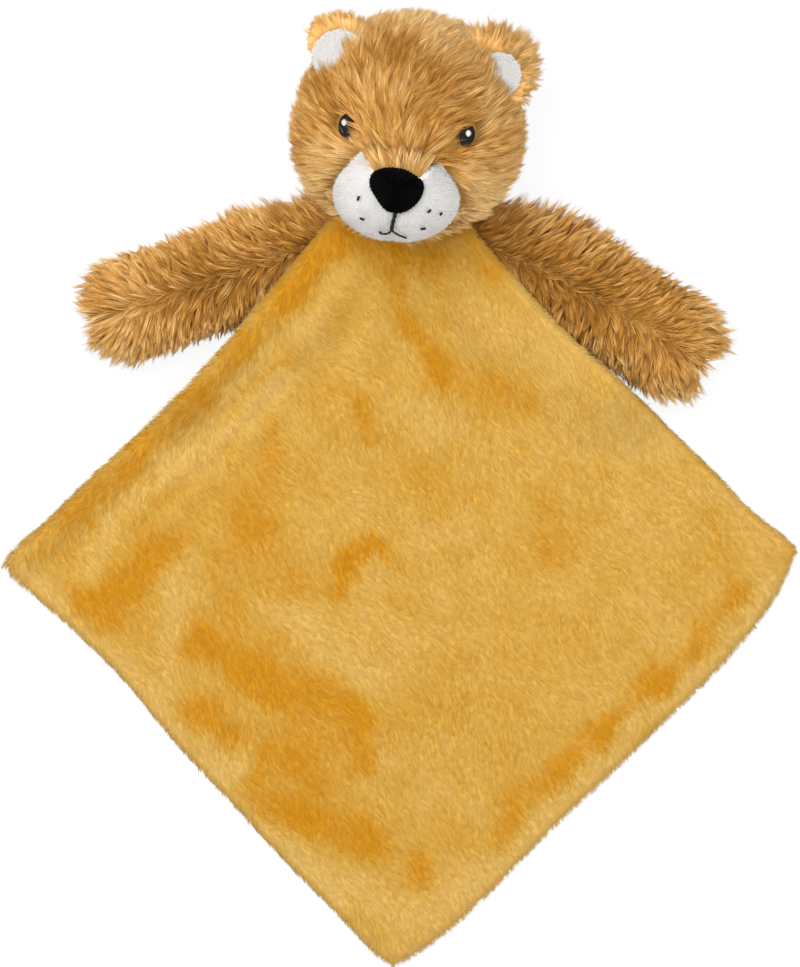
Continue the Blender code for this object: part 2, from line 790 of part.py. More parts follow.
def make_ears(tan, white, frame):
    def back_low(x, y, share):
        return ear_front(x, y) - EAR_THICKNESS * (1 - share**EAR_EDGE_POWER / 2)

    def back_high(x, y, share):
        return ear_front(x, y)

    def lining_low(x, y, share):
        return ear_front(x, y) + GAP

    def lining_high(x, y, share):
        return lining_low(x, y, share) + LINING_RIM + LINING_CROWN * math.sqrt(1 - share * share)

    for name, side in (("left", -1), ("right", 1)):
        out = math.pi / 2 - side * (math.pi / 2 - EAR_ANGLE)
        radius = ear_seat_radius(out)
        hinge = (radius * math.cos(out), radius * math.sin(out), -EAR_BEHIND_MIDDLE)
        pivot = empty(f"{name}_ear_hinge", hinge, out - math.pi / 2, frame)
        middle = (0, EAR_MIDDLE_SHARE * EAR_HEIGHT)
        whole = slab(ear_outline(1), middle, back_low, back_high, PAD_RINGS)
        piece(f"{name}_ear_back", whole, tan, pivot)
        rise = (1 - LINING_SHARE) * middle[1]
        small = [(x, y + rise) for x, y in ear_outline(LINING_SHARE)]
        pad = slab(small, middle, lining_low, lining_high, PAD_RINGS)
        piece(f"{name}_ear_lining", pad, white, pivot)


def ear_seat_radius(out):
    """How far from the head's middle the ear's base sits, just off the head's outline."""
    flat = 1 / math.hypot(math.cos(out) / HEAD_HALF_WIDTH, math.sin(out) / HEAD_HALF_HEIGHT)
    rim = shape_head((flat * math.cos(out), flat * math.sin(out), 0)).length
    return rim + EAR_SEAT_GAP + EAR_BASE_SHARE * EAR_HEIGHT


# Arms


def arm_thickness(s):
    swell = smooth_share(s, ARM_SWELL_START_SHARE * ARM_LENGTH, ARM_SWELL_END_SHARE * ARM_LENGTH)
    return blend(ARM_ROOT_THICKNESS, ARM_PAW_THICKNESS, swell)


def arm_size(s, inset):
    """Half the width and half the thickness of the arm at s along it, smaller by the inset."""
    widen = smooth_share(s, 0, ARM_WIDEN_SHARE * ARM_LENGTH)
    wide = blend(ARM_ROOT_HALF_WIDTH, ARM_PAW_HALF_WIDTH, widen) - inset
    thick = arm_thickness(s) / 2 - inset
    tip_start = ARM_LENGTH - ARM_PAW_HALF_WIDTH
    if s < 0:
        end = s / (ARM_ROOT_HALF_WIDTH - inset)
    elif s > tip_start:
        end = (s - tip_start) / (ARM_PAW_HALF_WIDTH - inset)
    else:
        end = 0
    close = math.sqrt(max(1 - end * end, 0))
    return wide * close, thick * close


def arm_place(s, heading, bend):
    """The arm's middle line, an arc that starts at the shoulder, and the way that it runs."""
    if s <= 0:
        return s * math.cos(heading), s * math.sin(heading), heading
    turned = heading + bend * s / ARM_LENGTH
    radius = ARM_LENGTH / bend
    x = radius * (math.sin(turned) - math.sin(heading))
    y = radius * (math.cos(heading) - math.cos(turned))
    return x, y, turned


def arm_stations(inset):
    """Places along the arm, close together at its two round ends."""
    low, high = inset - ARM_ROOT_HALF_WIDTH, ARM_LENGTH - inset
    return [blend(low, high, (1 - math.cos(math.pi * i / ARM_RINGS)) / 2) for i in range(ARM_RINGS + 1)]


def arm_rows(inset, heading, bend, start_turn, end_turn, sides, split):
    """Rings round the arm. split holds a front or back half off the seam between them."""
    rows = []
    for s in arm_stations(inset):
        wide, thick = arm_size(s, inset)
        x, y, along = arm_place(s, heading, bend)
        middle = arm_thickness(s) / 2 - REST_FLAT
        row = []
        for k in range(sides + 1):
            turn = blend(start_turn, end_turn, k / sides)
            cos, sin = math.cos(turn), math.sin(turn)
            across = wide * math.copysign(abs(cos) ** ARM_SQUARE_SHARE, cos)
            up = thick * math.copysign(abs(sin) ** ARM_SQUARE_SHARE, sin)
            z = middle + up
            if split > 0:
                z = max(z, middle + split)
            if split < 0:
                z = min(z, middle + split)
            z = max(z, inset)
            row.append((x - across * math.sin(along), y + across * math.cos(along), z))
        rows.append(row)
    return rows


def arm_tube(inset, heading, bend):
    mesh = bmesh.new()
    rows = arm_rows(inset, heading, bend, 0, math.tau, 2 * ARM_SIDES, 0)
    rings = grid_verts(mesh, [row[:-1] for row in rows])
    for first, second in zip(rings, rings[1:]):
        skin_between(mesh, first, second, True)
    return mesh


def make_arm(name, side, heading, bend, tan, stuffing):
    pivot = empty(f"{name}_shoulder", shoulder_place(side))
    halves = (("front", 0, math.pi, GAP / 2), ("back", math.pi, math.tau, -GAP / 2))
    for half, start, end, split in halves:
        outer = arm_rows(0, heading, bend, start, end, ARM_SIDES, split)
        inner = arm_rows(ARM_WALL, heading, bend, start, end, ARM_SIDES, split)
        piece(f"{name}_arm_{half}_panel", shell(outer, inner, False), tan, pivot)
    piece(f"{name}_arm_stuffing", arm_tube(ARM_WALL + GAP, heading, bend), stuffing, pivot)


def main():
    clear_scene()
    mustard = finish_material("mustard_plush", MUSTARD, PLUSH_ROUGHNESS)
    tan = finish_material("tan_long_plush", TAN, LONG_PILE_ROUGHNESS)
    white = finish_material("white_short_plush", WHITE, PLUSH_ROUGHNESS)
    black = finish_material("black_short_plush", BLACK, PLUSH_ROUGHNESS)
    dark = finish_material("dark_brown_thread", DARK_BROWN, THREAD_ROUGHNESS)
    bright = finish_material("white_thread", WHITE, THREAD_ROUGHNESS)
    stuffing = finish_material("fibre_stuffing", STUFFING_WHITE, LONG_PILE_ROUGHNESS)

    neck_seat = make_neck(tan)
    make_blanket(mustard, neck_seat)

    up = head_up() * (HEAD_HALF_HEIGHT - NECK_INSET)
    neck_pivot = empty("neck_pivot", neck_place(), -HEAD_TILT)
    rise = HEAD_HALF_DEPTH - REST_FLAT - neck_place().z
    frame = empty("head_frame", (0, up.length, rise), parent=neck_pivot)
    make_head_covers(tan, frame, neck_seat)
    make_head_stuffing(stuffing, frame, neck_seat)
    make_muzzle(white, tan, frame)
    make_nose(black, frame)
    make_eyes(dark, bright, frame)
    make_mouth(dark, frame)
    make_stitches(dark, frame)
    make_ears(tan, white, frame)

    make_arm("left", -1, LEFT_ARM_HEADING, LEFT_ARM_BEND, tan, stuffing)
    make_arm("right", 1, RIGHT_ARM_HEADING, RIGHT_ARM_BEND, tan, stuffing)


if __name__ == "__main__":
    main()
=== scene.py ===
"""The visible cloth, pile, thread and stage of a comfort blanket with a stuffed lion head.

Lengths in the shapes are millimetres until a mesh is made. Pile is made of real strands, and each
strand's colour depends only on its shade and on how far along it a point lies.
"""

import math

import bpy
import numpy as np
from bpy.props import FloatProperty, FloatVectorProperty, PointerProperty
from bpy.types import Operator, Panel, PropertyGroup
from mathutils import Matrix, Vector


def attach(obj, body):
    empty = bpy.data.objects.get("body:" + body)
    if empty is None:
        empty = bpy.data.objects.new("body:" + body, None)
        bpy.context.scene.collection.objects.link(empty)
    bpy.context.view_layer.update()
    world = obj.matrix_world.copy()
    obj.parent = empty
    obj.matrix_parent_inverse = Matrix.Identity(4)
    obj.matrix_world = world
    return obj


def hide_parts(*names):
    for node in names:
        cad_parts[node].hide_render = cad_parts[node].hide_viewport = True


bl_info = {
    "name": "Comfort blanket with a lion head",
    "version": (1, 0, 0),
    "blender": (4, 5, 0),
    "location": "3D View > Sidebar > Comforter",
    "description": "Dresses the comfort blanket in cloth, long and short pile, and thread",
    "category": "Object",
}

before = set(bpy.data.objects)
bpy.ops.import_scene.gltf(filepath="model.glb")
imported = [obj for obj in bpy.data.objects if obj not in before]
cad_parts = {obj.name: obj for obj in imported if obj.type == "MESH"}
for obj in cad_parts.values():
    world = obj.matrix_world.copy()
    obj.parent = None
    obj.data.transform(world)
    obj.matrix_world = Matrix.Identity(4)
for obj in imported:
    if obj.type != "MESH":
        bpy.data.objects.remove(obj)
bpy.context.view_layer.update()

MM = 0.001
MM_PER_PIXEL = 0.53
PHOTO_HEIGHT, BLANKET_ROW = 967, 555  # pixels, and the row that shows the blanket's middle
SHADES = 32  # columns of colour, of which each strand takes one
STRAY = 0.2  # how far a tuft turns away from its flow, in radians
WHITE_LIGHT = (1.0, 1.0, 1.0, 1.0)

# Sizes that the solids have too
BLANKET_TOP = np.array((2.76, 219.0))
BLANKET_RIGHT = np.array((212.0, 3.72))
BLANKET_LEFT = np.array((-211.4, -2.63))
BLANKET_BOTTOM = np.array((-4.24, -219.0))
EDGE_BOWS = {
    "upper_left": (-7.7, (0, 0, 0.16, 0.43, 0.69, 0.96, 1, 0.78, 0.56, 0.42, 0)),
    "upper_right": (-10.0, (0, 0.3, 0.75, 0.9, 1, 0.88, 0.63, 0.58, 0.51, 0.48, -0.05)),
    "lower_left": (-3.4, (-0.7, 0.18, 0.85, 1, 0.35, 0, -0.06, -0.32, -0.24, -0.18, -0.45)),
    "lower_right": (12.5, (0.12, 0.69, 0.96, 1, 0.92, 0.85, 0.72, 0.67, 0.66, 0.48, 0.12)),
}
CORNER_ROUND = 0.02
NECK_LIFT = 16.9
CHIN_VALLEY_REACH = 72.0
RIDGE_FALL = 46.0
FOLD_MERGE = 6.0
FOLD_HEIGHT, FOLD_START, FOLD_REACH, FOLDS_PER_TURN = 3.2, 24.0, 150.0, 14
ROLL_WIDTH = 24.0
NECK = np.array((-1.0, 172.5, 19.65))
HEAD_MIDDLE = np.array((3.706, 226.295, 39.5))
HEAD_TILT = math.radians(5)
HEAD_RADII = np.array((57.5, 56.0, 40.0))
MUZZLE_MIDDLE = np.array((-2.4, -37.5, 26.0))
MUZZLE_RADII = np.array((34.0, 24.5, 26.0))
EYE_ACROSS, EYE_UP = 32.0, -2.1
EYE_HALF_WIDTH, EYE_HALF_HEIGHT, GLINT_HALF_SIZE = 4.0, 6.0, 1.35
ARM_LENGTH = 150.0
ARM_ROOT_HALF_WIDTH = 15.0
ARM_ROOT_THICKNESS = 16.6
ARM_PAW_HALF_WIDTH = 25.0
ARM_PAW_THICKNESS = 32.0
ARM_SWING_DOWN = math.radians(5)
ARMS = {
    "left": {
        "shoulder": (-33.0, 169.5), "heading": math.radians(202), "bend": math.radians(-6), "side": -1,
        "length": 139.0, "upper": (6.0, 5.0, -1.5, -3.0, -5.0, -4.0), "lower": (0.0, -1.0, -5.0, -5.0, -1.0, 1.0),
    },
    "right": {
        "shoulder": (31.0, 169.5), "heading": math.radians(-21), "bend": math.radians(-14), "side": 1,
        "length": 148.0, "upper": (6.0, 7.0, 4.0, -3.0, -5.0, -3.0), "lower": (0.0, 0.0, 0.0, -1.0, 0.0, 6.0),
    },
}
EARS = {
    "left": {"angle": math.radians(138), "lining": (1.0, 0.92), "shift": (1.0, 0.0), "fringe": (9.0, 8.0, -1.0)},
    "right": {"angle": math.radians(36), "lining": (0.84, 0.86), "shift": (-1.5, 3.0), "fringe": (9.0, 14.0, 14.0)},
}

# The cloths lie inside the solids, because the solids reach to the middle of the pile
HEAD_CLOTH_RADII = HEAD_RADII - 3.8
SNOUT_CLOTH_RADII = MUZZLE_RADII - 3.2
PAD_CLOTH_RADII = MUZZLE_RADII - 1.8
ARM_CLOTH_INSET, ARM_FILL_INSET = 3.5, 5.4
LOWEST_CLOTH = 1.6


# Arithmetic on arrays of points


def smooth(value, low, high):
    share = np.clip((value - low) / (high - low), 0, 1)
    return share * share * (3 - 2 * share)


def unit(vectors):
    return vectors / np.maximum(np.linalg.norm(vectors, axis=-1, keepdims=True), 1e-9)


def tangent(vectors, normals):
    """The part of each vector that lies along the surface, at length one."""
    return unit(vectors - normals * np.sum(vectors * normals, axis=-1, keepdims=True))


def cloudy(x, y, size, seed):
    """Soft random blotches from 0 to 1, about the given size across."""
    table = np.random.default_rng(seed).random((64, 64))
    gx, gy = x / size + 100.0, y / size + 100.0
    ix, iy = np.floor(gx).astype(int), np.floor(gy).astype(int)
    fx, fy = gx - ix, gy - iy
    fx, fy = fx * fx * (3 - 2 * fx), fy * fy * (3 - 2 * fy)
    low = table[ix % 64, iy % 64] * (1 - fx) + table[(ix + 1) % 64, iy % 64] * fx
    high = table[ix % 64, (iy + 1) % 64] * (1 - fx) + table[(ix + 1) % 64, (iy + 1) % 64] * fx
    return low * (1 - fy) + high * fy


PAIR_STEPS = np.array((0.7548776662, 0.5698402910))  # one over the plastic ratio, and its square


def even_pairs(count, seed):
    """Evenly scattered pairs of numbers from 0 to 1."""
    start = np.random.default_rng(seed).random(2)
    return (start + PAIR_STEPS * np.arange(count)[:, None]) % 1


def even_directions(count, seed):
    """Evenly scattered directions, a little disturbed."""
    i = np.arange(count) + 0.5
    z = 1 - 2 * i / count
    turn = math.pi * (1 + math.sqrt(5)) * i
    flat = np.sqrt(1 - z * z)
    points = np.stack((flat * np.cos(turn), flat * np.sin(turn), z), -1)
    return unit(points + np.random.default_rng(seed).normal(0, 0.8 / math.sqrt(count), points.shape))


def turns_round(count):
    return math.tau * np.arange(count) / count


def directions_of(polar, turn):
    """A grid of directions, from their angles off the front and their turns round it."""
    polar, turn = np.meshgrid(polar, turn, indexing="ij")
    return np.stack((np.sin(polar) * np.cos(turn), np.sin(polar) * np.sin(turn), np.cos(polar)), -1)


def by_neighbours(pitch, place, normal, flow):
    """The same spots in an order in which neighbours follow each other."""
    order = np.lexsort((np.round(place[:, 0] / pitch), np.round(place[:, 1] / pitch)))
    return place[order], normal[order], flow[order]


def round_curve(points, count):
    """A closed smooth curve through the points, at evenly spaced places."""
    points = np.asarray(points, float)
    total = len(points)
    place = np.arange(count) * total / count
    i = np.floor(place).astype(int)
    t = (place - i)[:, None]
    a, b, c, d = (points[(i + k) % total] for k in (-1, 0, 1, 2))
    return 0.5 * (2 * b + (c - a) * t + (2 * a - 5 * b + 4 * c - d) * t**2 + (3 * b - a - 3 * c + d) * t**3)


# Meshes


def finish_mesh(name, mesh, material):
    mesh.update()
    mesh.validate()
    mesh.shade_smooth()
    body = bpy.data.objects.new(name, mesh)
    bpy.context.scene.collection.objects.link(body)
    body.data.materials.append(material)
    return body


def plain_mesh(name, points, faces, material, marks=None):
    """A mesh from points in millimetres and lists of corners, with values at its points."""
    mesh = bpy.data.meshes.new(name)
    mesh.from_pydata((np.asarray(points) * MM).tolist(), [], faces)
    for mark, values in (marks or {}).items():
        layer = mesh.attributes.new(mark, "FLOAT", "POINT")
        layer.data.foreach_set("value", np.asarray(values, np.float32))
    return finish_mesh(name, mesh, material)


def grid_faces(rows, columns, wrap=False):
    """The quads of a grid of points, row by row, closed round each row where it wraps."""
    faces = []
    for i in range(rows - 1):
        for j in range(columns if wrap else columns - 1):
            k = (j + 1) % columns
            faces.append((i * columns + j, i * columns + k, (i + 1) * columns + k, (i + 1) * columns + j))
    return faces


def ring_body(name, rings, material):
    """A closed body from rings of equal length, with its two end rings capped."""
    rings = np.asarray(rings, float)
    rows, columns = rings.shape[:2]
    faces = grid_faces(rows, columns, wrap=True)
    faces.append(tuple(range(columns - 1, -1, -1)))
    faces.append(tuple((rows - 1) * columns + j for j in range(columns)))
    return plain_mesh(name, rings.reshape(-1, 3), faces, material)


def rounded(body):
    change = body.modifiers.new("Rounding", "SUBSURF")
    change.levels = change.render_levels = 1
    return body


def with_thickness(body, thickness):
    """The cloth gets thicker inward, away from its pile."""
    change = body.modifiers.new("Cloth thickness", "SOLIDIFY")
    change.thickness = thickness * MM
    change.offset = -1
    return body


def strand_pattern(rings):
    """The corners of one strand's faces, and where each lies across and along it."""
    faces, across, along = [], [], []
    for k in range(rings - 1):
        for j in range(3):
            n = (j + 1) % 3
            faces.append((3 * k + j, 3 * k + 3 + j, 3 * k + 3 + n, 3 * k + n))
            across += [j, j, j + 1, j + 1]
            along += [k, k + 1, k + 1, k]
    top = 3 * rings
    for j in range(3):
        faces.append((3 * rings - 3 + j, top, 3 * rings - 3 + (j + 1) % 3))
        across += [j, j + 0.5, j + 1]
        along += [rings - 1, rings, rings - 1]
    return faces, np.array(across) / 3, np.array(along)


def strand_mesh(name, lines, widths, normals, shades, material, seed, soft):
    """Three-sided tapering strands along the lines, an array of strands by places by xyz. The
    softer they are, the more they catch the light as the surface below them does."""
    count, places = lines.shape[:2]
    rings = places - 1
    rng = np.random.default_rng(seed)
    along = unit(np.gradient(lines, axis=1))
    side = unit(np.cross(along, normals[:, None, :] + rng.normal(0, 0.05, (count, 1, 3))))
    over = np.cross(side, along)
    share = np.linspace(0, 1, places)
    taper = (0.75 + 0.5 * share - 1.0 * share**2)[None, :rings, None]
    turn = rng.random((count, 1, 1)) * math.tau
    verts = np.empty((count, 3 * rings + 1, 3))
    for j in range(3):
        angle = turn + math.tau * j / 3
        offset = side[:, :rings] * np.cos(angle) + over[:, :rings] * np.sin(angle)
        verts[:, j : 3 * rings : 3] = lines[:, :rings] + offset * taper * (widths / 2)[:, None, None]
    verts[:, -1] = lines[:, -1]
    verts[..., 2] = np.maximum(verts[..., 2], 0.05)
    faces, across, steps = strand_pattern(rings)
    sizes = np.array([len(face) for face in faces])
    corners = np.concatenate([np.array(face) for face in faces])
    stride = 3 * rings + 1
    loops = (corners[None, :] + (np.arange(count) * stride)[:, None]).reshape(-1)
    totals = np.tile(sizes, count)
    starts = np.concatenate(([0], np.cumsum(totals)[:-1]))
    mesh = bpy.data.meshes.new(name)
    mesh.vertices.add(count * stride)
    mesh.vertices.foreach_set("co", (verts * MM).astype(np.float32).reshape(-1))
    mesh.loops.add(len(loops))
    mesh.loops.foreach_set("vertex_index", loops.astype(np.int32))
    mesh.polygons.add(len(totals))
    mesh.polygons.foreach_set("loop_start", starts.astype(np.int32))
    column = np.clip((shades * SHADES).astype(int), 0, SHADES - 1)
    tip = np.append(np.repeat(share[:rings], 3), 1.0)
    for mark, values in (("tip", np.tile(tip, count)), ("shade", np.repeat((column + 0.5) / SHADES, stride))):
        layer = mesh.attributes.new(mark, "FLOAT", "POINT")
        layer.data.foreach_set("value", values.astype(np.float32))
    uv = np.empty((count, len(corners), 2), np.float32)
    uv[..., 0] = (column[:, None] + 0.1 + 0.8 * across[None, :]) / SHADES
    uv[..., 1] = 0.01 + 0.98 * share[steps][None, :]
    layer = mesh.uv_layers.new(name="OFBake")
    layer.data.foreach_set("uv", uv.reshape(-1))
    body = finish_mesh(name, mesh, material)
    own = np.empty(count * stride * 3, np.float32)
    mesh.vertex_normals.foreach_get("vector", own)
    below = np.repeat(unit(normals), stride, axis=0)
    mesh.normals_split_custom_set_from_vertices(unit(own.reshape(-1, 3) * (1 - soft) + below * soft).tolist())
    return body


def grow(
    name, spots, tufts, tuft_of, length, width, lean, droop, gather, shades, material, seed, places=4, soft=0.4
):
    """Pile from roots, in tufts. spots and tufts hold roots, normals and flows of the strands and
    of the tufts. lean is the angle off the surface, and gather pulls the tips of a tuft together."""
    rng = np.random.default_rng(seed)
    share = np.linspace(0, 1, places)[None, :, None]

    def paths(roots, normals, flows, lengths, leans, sways):
        aside = np.cross(normals, flows)
        lean_up = np.sin(leans)[:, None, None]
        lean_out = np.cos(leans)[:, None, None]
        out = lean_out * share + 0.5 * droop * share**2
        up = lean_up * share * (1 - droop * share)
        sway = sways[:, None, None] * share**2
        reach = lengths[:, None, None]
        flow, normal, cross = flows[:, None, :], normals[:, None, :], aside[:, None, :]
        return roots[:, None, :] + reach * (flow * out + normal * up + cross * sway)

    count, clumps = len(spots[0]), len(tufts[0])
    clump_turn = rng.normal(0, STRAY, (clumps, 1))
    own_turn = rng.normal(0, STRAY / 2, (count, 1))

    def turned(normals, flows, turn):
        return unit(flows * np.cos(turn) + np.cross(normals, flows) * np.sin(turn))

    tuft_flow = turned(tufts[1], tufts[2], clump_turn)
    flow = turned(spots[1], spots[2], clump_turn[tuft_of] * 0.7 + own_turn)
    tuft_lean = lean * rng.uniform(0.75, 1.3, clumps)
    strand_lean = tuft_lean[tuft_of] * rng.uniform(0.85, 1.15, count)
    strand_length = length * rng.uniform(0.78, 1.06, count) * rng.uniform(0.68, 1.26, clumps)[tuft_of]
    tuft_sway, sway = rng.normal(0, 0.12, clumps), rng.normal(0, 0.08, count)
    mine = (tufts[0][tuft_of], tufts[1][tuft_of], tuft_flow[tuft_of])
    middle = paths(*mine, strand_length, tuft_lean[tuft_of], tuft_sway[tuft_of])
    lines = paths(spots[0], spots[1], flow, strand_length, strand_lean, sway)
    pull = gather * share**0.8
    lines = lines * (1 - pull) + middle * pull
    widths = width * rng.uniform(0.7, 1.2, count)
    return strand_mesh(name, lines, widths, spots[1], np.clip(shades, 0, 0.999), material, seed, soft)


# Shaders


class Shade:
    """One socket of a node, so that shader maths reads as arithmetic."""

    def __init__(self, finish, socket):
        self.finish = finish
        self.socket = socket

    def maths(self, operation, first, second):
        return self.finish.add("ShaderNodeMath", {"operation": operation}, {0: first, 1: second})

    def __add__(self, other):
        return self.maths("ADD", self, other)

    def __radd__(self, other):
        return self.maths("ADD", other, self)

    def __sub__(self, other):
        return self.maths("SUBTRACT", self, other)

    def __rsub__(self, other):
        return self.maths("SUBTRACT", other, self)

    def __mul__(self, other):
        return self.maths("MULTIPLY", self, other)

    def __rmul__(self, other):
        return self.maths("MULTIPLY", other, self)


class Finish:
    """The nodes of one material."""

    def __init__(self, name, roughness, sheen, specular):
        self.material = bpy.data.materials.new(name)
        self.material.use_nodes = True
        self.tree = self.material.node_tree
        self.shader = self.tree.nodes["Principled BSDF"]
        self.output = self.tree.nodes["Material Output"]
        values = {"Roughness": roughness, "Specular IOR Level": specular, "Sheen Weight": sheen}
        for name, value in {**values, "Sheen Roughness": 0.5}.items():
            self.shader.inputs[name].default_value = value

    def add(self, kind, settings=None, inputs=None, output=0):
        """One node: its settings first, then the values or links of its sockets."""
        node = self.tree.nodes.new(kind)
        for name, value in (settings or {}).items():
            if name == "stops":
                elements = node.color_ramp.elements
                while len(elements) < len(value):
                    elements.new(0.5)
                for element, (position, colour) in zip(elements, value):
                    element.position = position
                    element.color = colour
            else:
                setattr(node, name, value)
        for name, value in (inputs or {}).items():
            self.feed(node.inputs[name], value)
        return Shade(self, node.outputs[output])

    def feed(self, socket, value):
        if isinstance(value, Shade):
            self.tree.links.new(value.socket, socket)
        else:
            socket.default_value = value

    def mark(self, name):
        return self.add("ShaderNodeAttribute", {"attribute_name": name}, output="Fac")

    def ramp(self, share, stops):
        return self.add("ShaderNodeValToRGB", {"stops": stops}, {"Fac": share})

    def mix(self, share, first, second, how="MIX"):
        settings = {"data_type": "RGBA", "blend_type": how}
        return self.add("ShaderNodeMix", settings, {0: share, 6: first, 7: second}, 2)

    def places(self, scale, turn=0.0):
        spots = self.add("ShaderNodeTexCoord", output="Object")
        inputs = {"Vector": spots, "Rotation": (0, 0, turn), "Scale": scale}
        return self.add("ShaderNodeMapping", None, inputs)

    def noise(self, places, scale, detail=3.0):
        inputs = {"Vector": places, "Scale": scale, "Detail": detail, "Roughness": 0.6}
        return self.add("ShaderNodeTexNoise", None, inputs)

    def colour(self, value):
        self.feed(self.shader.inputs["Base Color"], value)

    def bump(self, height, strength, distance):
        inputs = {"Height": height, "Strength": strength, "Distance": distance}
        self.feed(self.shader.inputs["Normal"], self.add("ShaderNodeBump", None, inputs))


def opaque(colour):
    return (*colour[:3], 1.0)


def scaled(colour, share):
    return (*(min(c * share, 1.0) for c in colour[:3]), 1.0)


def pile_finish(name, stops, root, roughness=0.85, sheen=0.05):
    """Strands: the shade picks the colour, and the root lies in the shadow of the pile."""
    finish = Finish(name, roughness, sheen, 0.12 if sheen else 0.0)
    colour = finish.ramp(finish.mark("shade"), stops)
    stops = [(0.0, opaque(root)), (0.7, (0.94, 0.93, 0.92, 1.0)), (1.0, WHITE_LIGHT)]
    depth = finish.ramp(finish.mark("tip"), stops)
    finish.colour(finish.mix(1.0, colour, depth, "MULTIPLY"))
    return finish.material


def cloth_finish(name, colour, dark, weave=1.1):
    """Knitted backing cloth: fine rows of loops with softer blotches."""
    finish = Finish(name, 0.9, 0.0, 0.1)
    rows = finish.noise(finish.places((1.0, 2.4, 1.0)), 1000 / weave, 2.0)
    blotch = finish.noise(finish.places((1.0, 1.0, 1.0)), 60.0, 3.0)
    finish.colour(finish.ramp(rows * 0.6 + blotch * 0.4, [(0.3, opaque(dark)), (0.7, opaque(colour))]))
    finish.bump(rows, 0.5, 0.0004)
    return finish.material


def nap_finish(name, stops):
    """Short brushed pile seen as cloth: nap sets the colour, with its painted light and shade, and fine streaks run
    along it.
    """
    finish = Finish(name, 0.85, 0.05, 0.1)
    streak = finish.noise(finish.places((1.0, 0.22, 1.0), math.radians(-30)), 1400.0, 3.0)
    share = finish.mark("nap") + (streak - 0.5) * 0.15
    finish.colour(finish.ramp(share, stops))
    finish.bump(streak, 0.25, 0.0003)
    return finish.material


def thread_finish(name, colour):
    """Twisted embroidery thread, with a slight gloss."""
    finish = Finish(name, 0.5, 0.0, 0.2)
    twist = finish.noise(finish.places((1.0, 1.0, 1.0)), 2600.0, 2.0)
    finish.colour(finish.ramp(twist, [(0.3, scaled(colour, 0.6)), (0.7, scaled(colour, 1.5))]))
    finish.bump(twist, 0.4, 0.0002)
    return finish.material


FINISHES = {}


def finish_of(make, name, *values):
    """The material of that name, made the first time that it is asked for."""
    if name not in FINISHES:
        FINISHES[name] = make(name, *values)
    return FINISHES[name]


def nap_stops(sizes):
    return [(0.05, opaque(sizes.deep)), (0.5, opaque(sizes.middle)), (0.95, opaque(sizes.pale))]


def long_pile(sizes):
    return finish_of(pile_finish, "tan_long_pile", nap_stops(sizes), sizes.root)


def tan_backing(sizes):
    return finish_of(cloth_finish, "tan_backing", scaled(sizes.middle, 0.62), scaled(sizes.middle, 0.4))


def white_pile(sizes):
    stops = [(0.0, scaled(sizes.white, 0.86)), (0.5, opaque(sizes.white)), (1.0, scaled(sizes.white, 1.08))]
    return finish_of(pile_finish, "white_short_pile", stops, (0.86, 0.86, 0.86), 0.9)


def white_backing(sizes):
    return finish_of(cloth_finish, "white_backing", scaled(sizes.white, 0.9), scaled(sizes.white, 0.75))


def fibre_fill():
    return finish_of(cloth_finish, "fibre_fill", (0.86, 0.86, 0.84), (0.7, 0.7, 0.68), 4.0)


def dark_thread(face):
    return finish_of(thread_finish, "dark_thread", face.dark_thread)


# The blanket's shape


def outward(start, end):
    """The flat way out of the blanket over the edge from start to end."""
    along = (end - start) / np.linalg.norm(end - start)
    side = np.array((along[1], -along[0]))
    return side if np.dot(side, start + end) > 0 else -side


def along_edge(name, place):
    """How far an edge bows out at a place from 0 to 1 along it."""
    bow, shares = EDGE_BOWS[name]
    shares = np.asarray(shares, float)
    last = len(shares) - 1
    step = np.clip((place * last).astype(int), 0, last - 1)
    part = place * last - step
    first, second = shares[step], shares[step + 1]
    before, after = shares[np.maximum(step - 1, 0)], shares[np.minimum(step + 2, last)]
    from_first = first + (second - before) / 2 * part
    from_second = second - (after - first) / 2 * (1 - part)
    share = smooth(part, 0, 1)
    return bow * (from_first * (1 - share) + from_second * share)


def blanket_place(u, v):
    """Flat places at u along the upper right edge and v along the upper left one."""
    across, down = 2 * u - 1, 2 * v - 1
    u = ((across * (1 - CORNER_ROUND * down**20) + 1) / 2)[..., None]
    v = ((down * (1 - CORNER_ROUND * across**20) + 1) / 2)[..., None]
    top, right, left, bottom = BLANKET_TOP, BLANKET_RIGHT, BLANKET_LEFT, BLANKET_BOTTOM
    point = (top * (1 - u) + right * u) * (1 - v) + (left * (1 - u) + bottom * u) * v
    point = point + outward(top, left) * along_edge("upper_left", v) * (1 - u)
    point = point + outward(top, right) * along_edge("upper_right", u) * (1 - v)
    point = point + outward(left, bottom) * along_edge("lower_left", u) * v
    point = point + outward(right, bottom) * along_edge("lower_right", v) * u
    return point


BLANKET_SIDE = float(np.linalg.norm(BLANKET_RIGHT - BLANKET_BOTTOM))


def merged(first, second):
    """The higher of two heights, with a soft valley where they are alike."""
    near = np.maximum(FOLD_MERGE - np.abs(first - second), 0) / FOLD_MERGE
    raised = smooth(np.minimum(first, second), 0, FOLD_MERGE)
    return np.maximum(first, second) + near * near * raised * 1.5


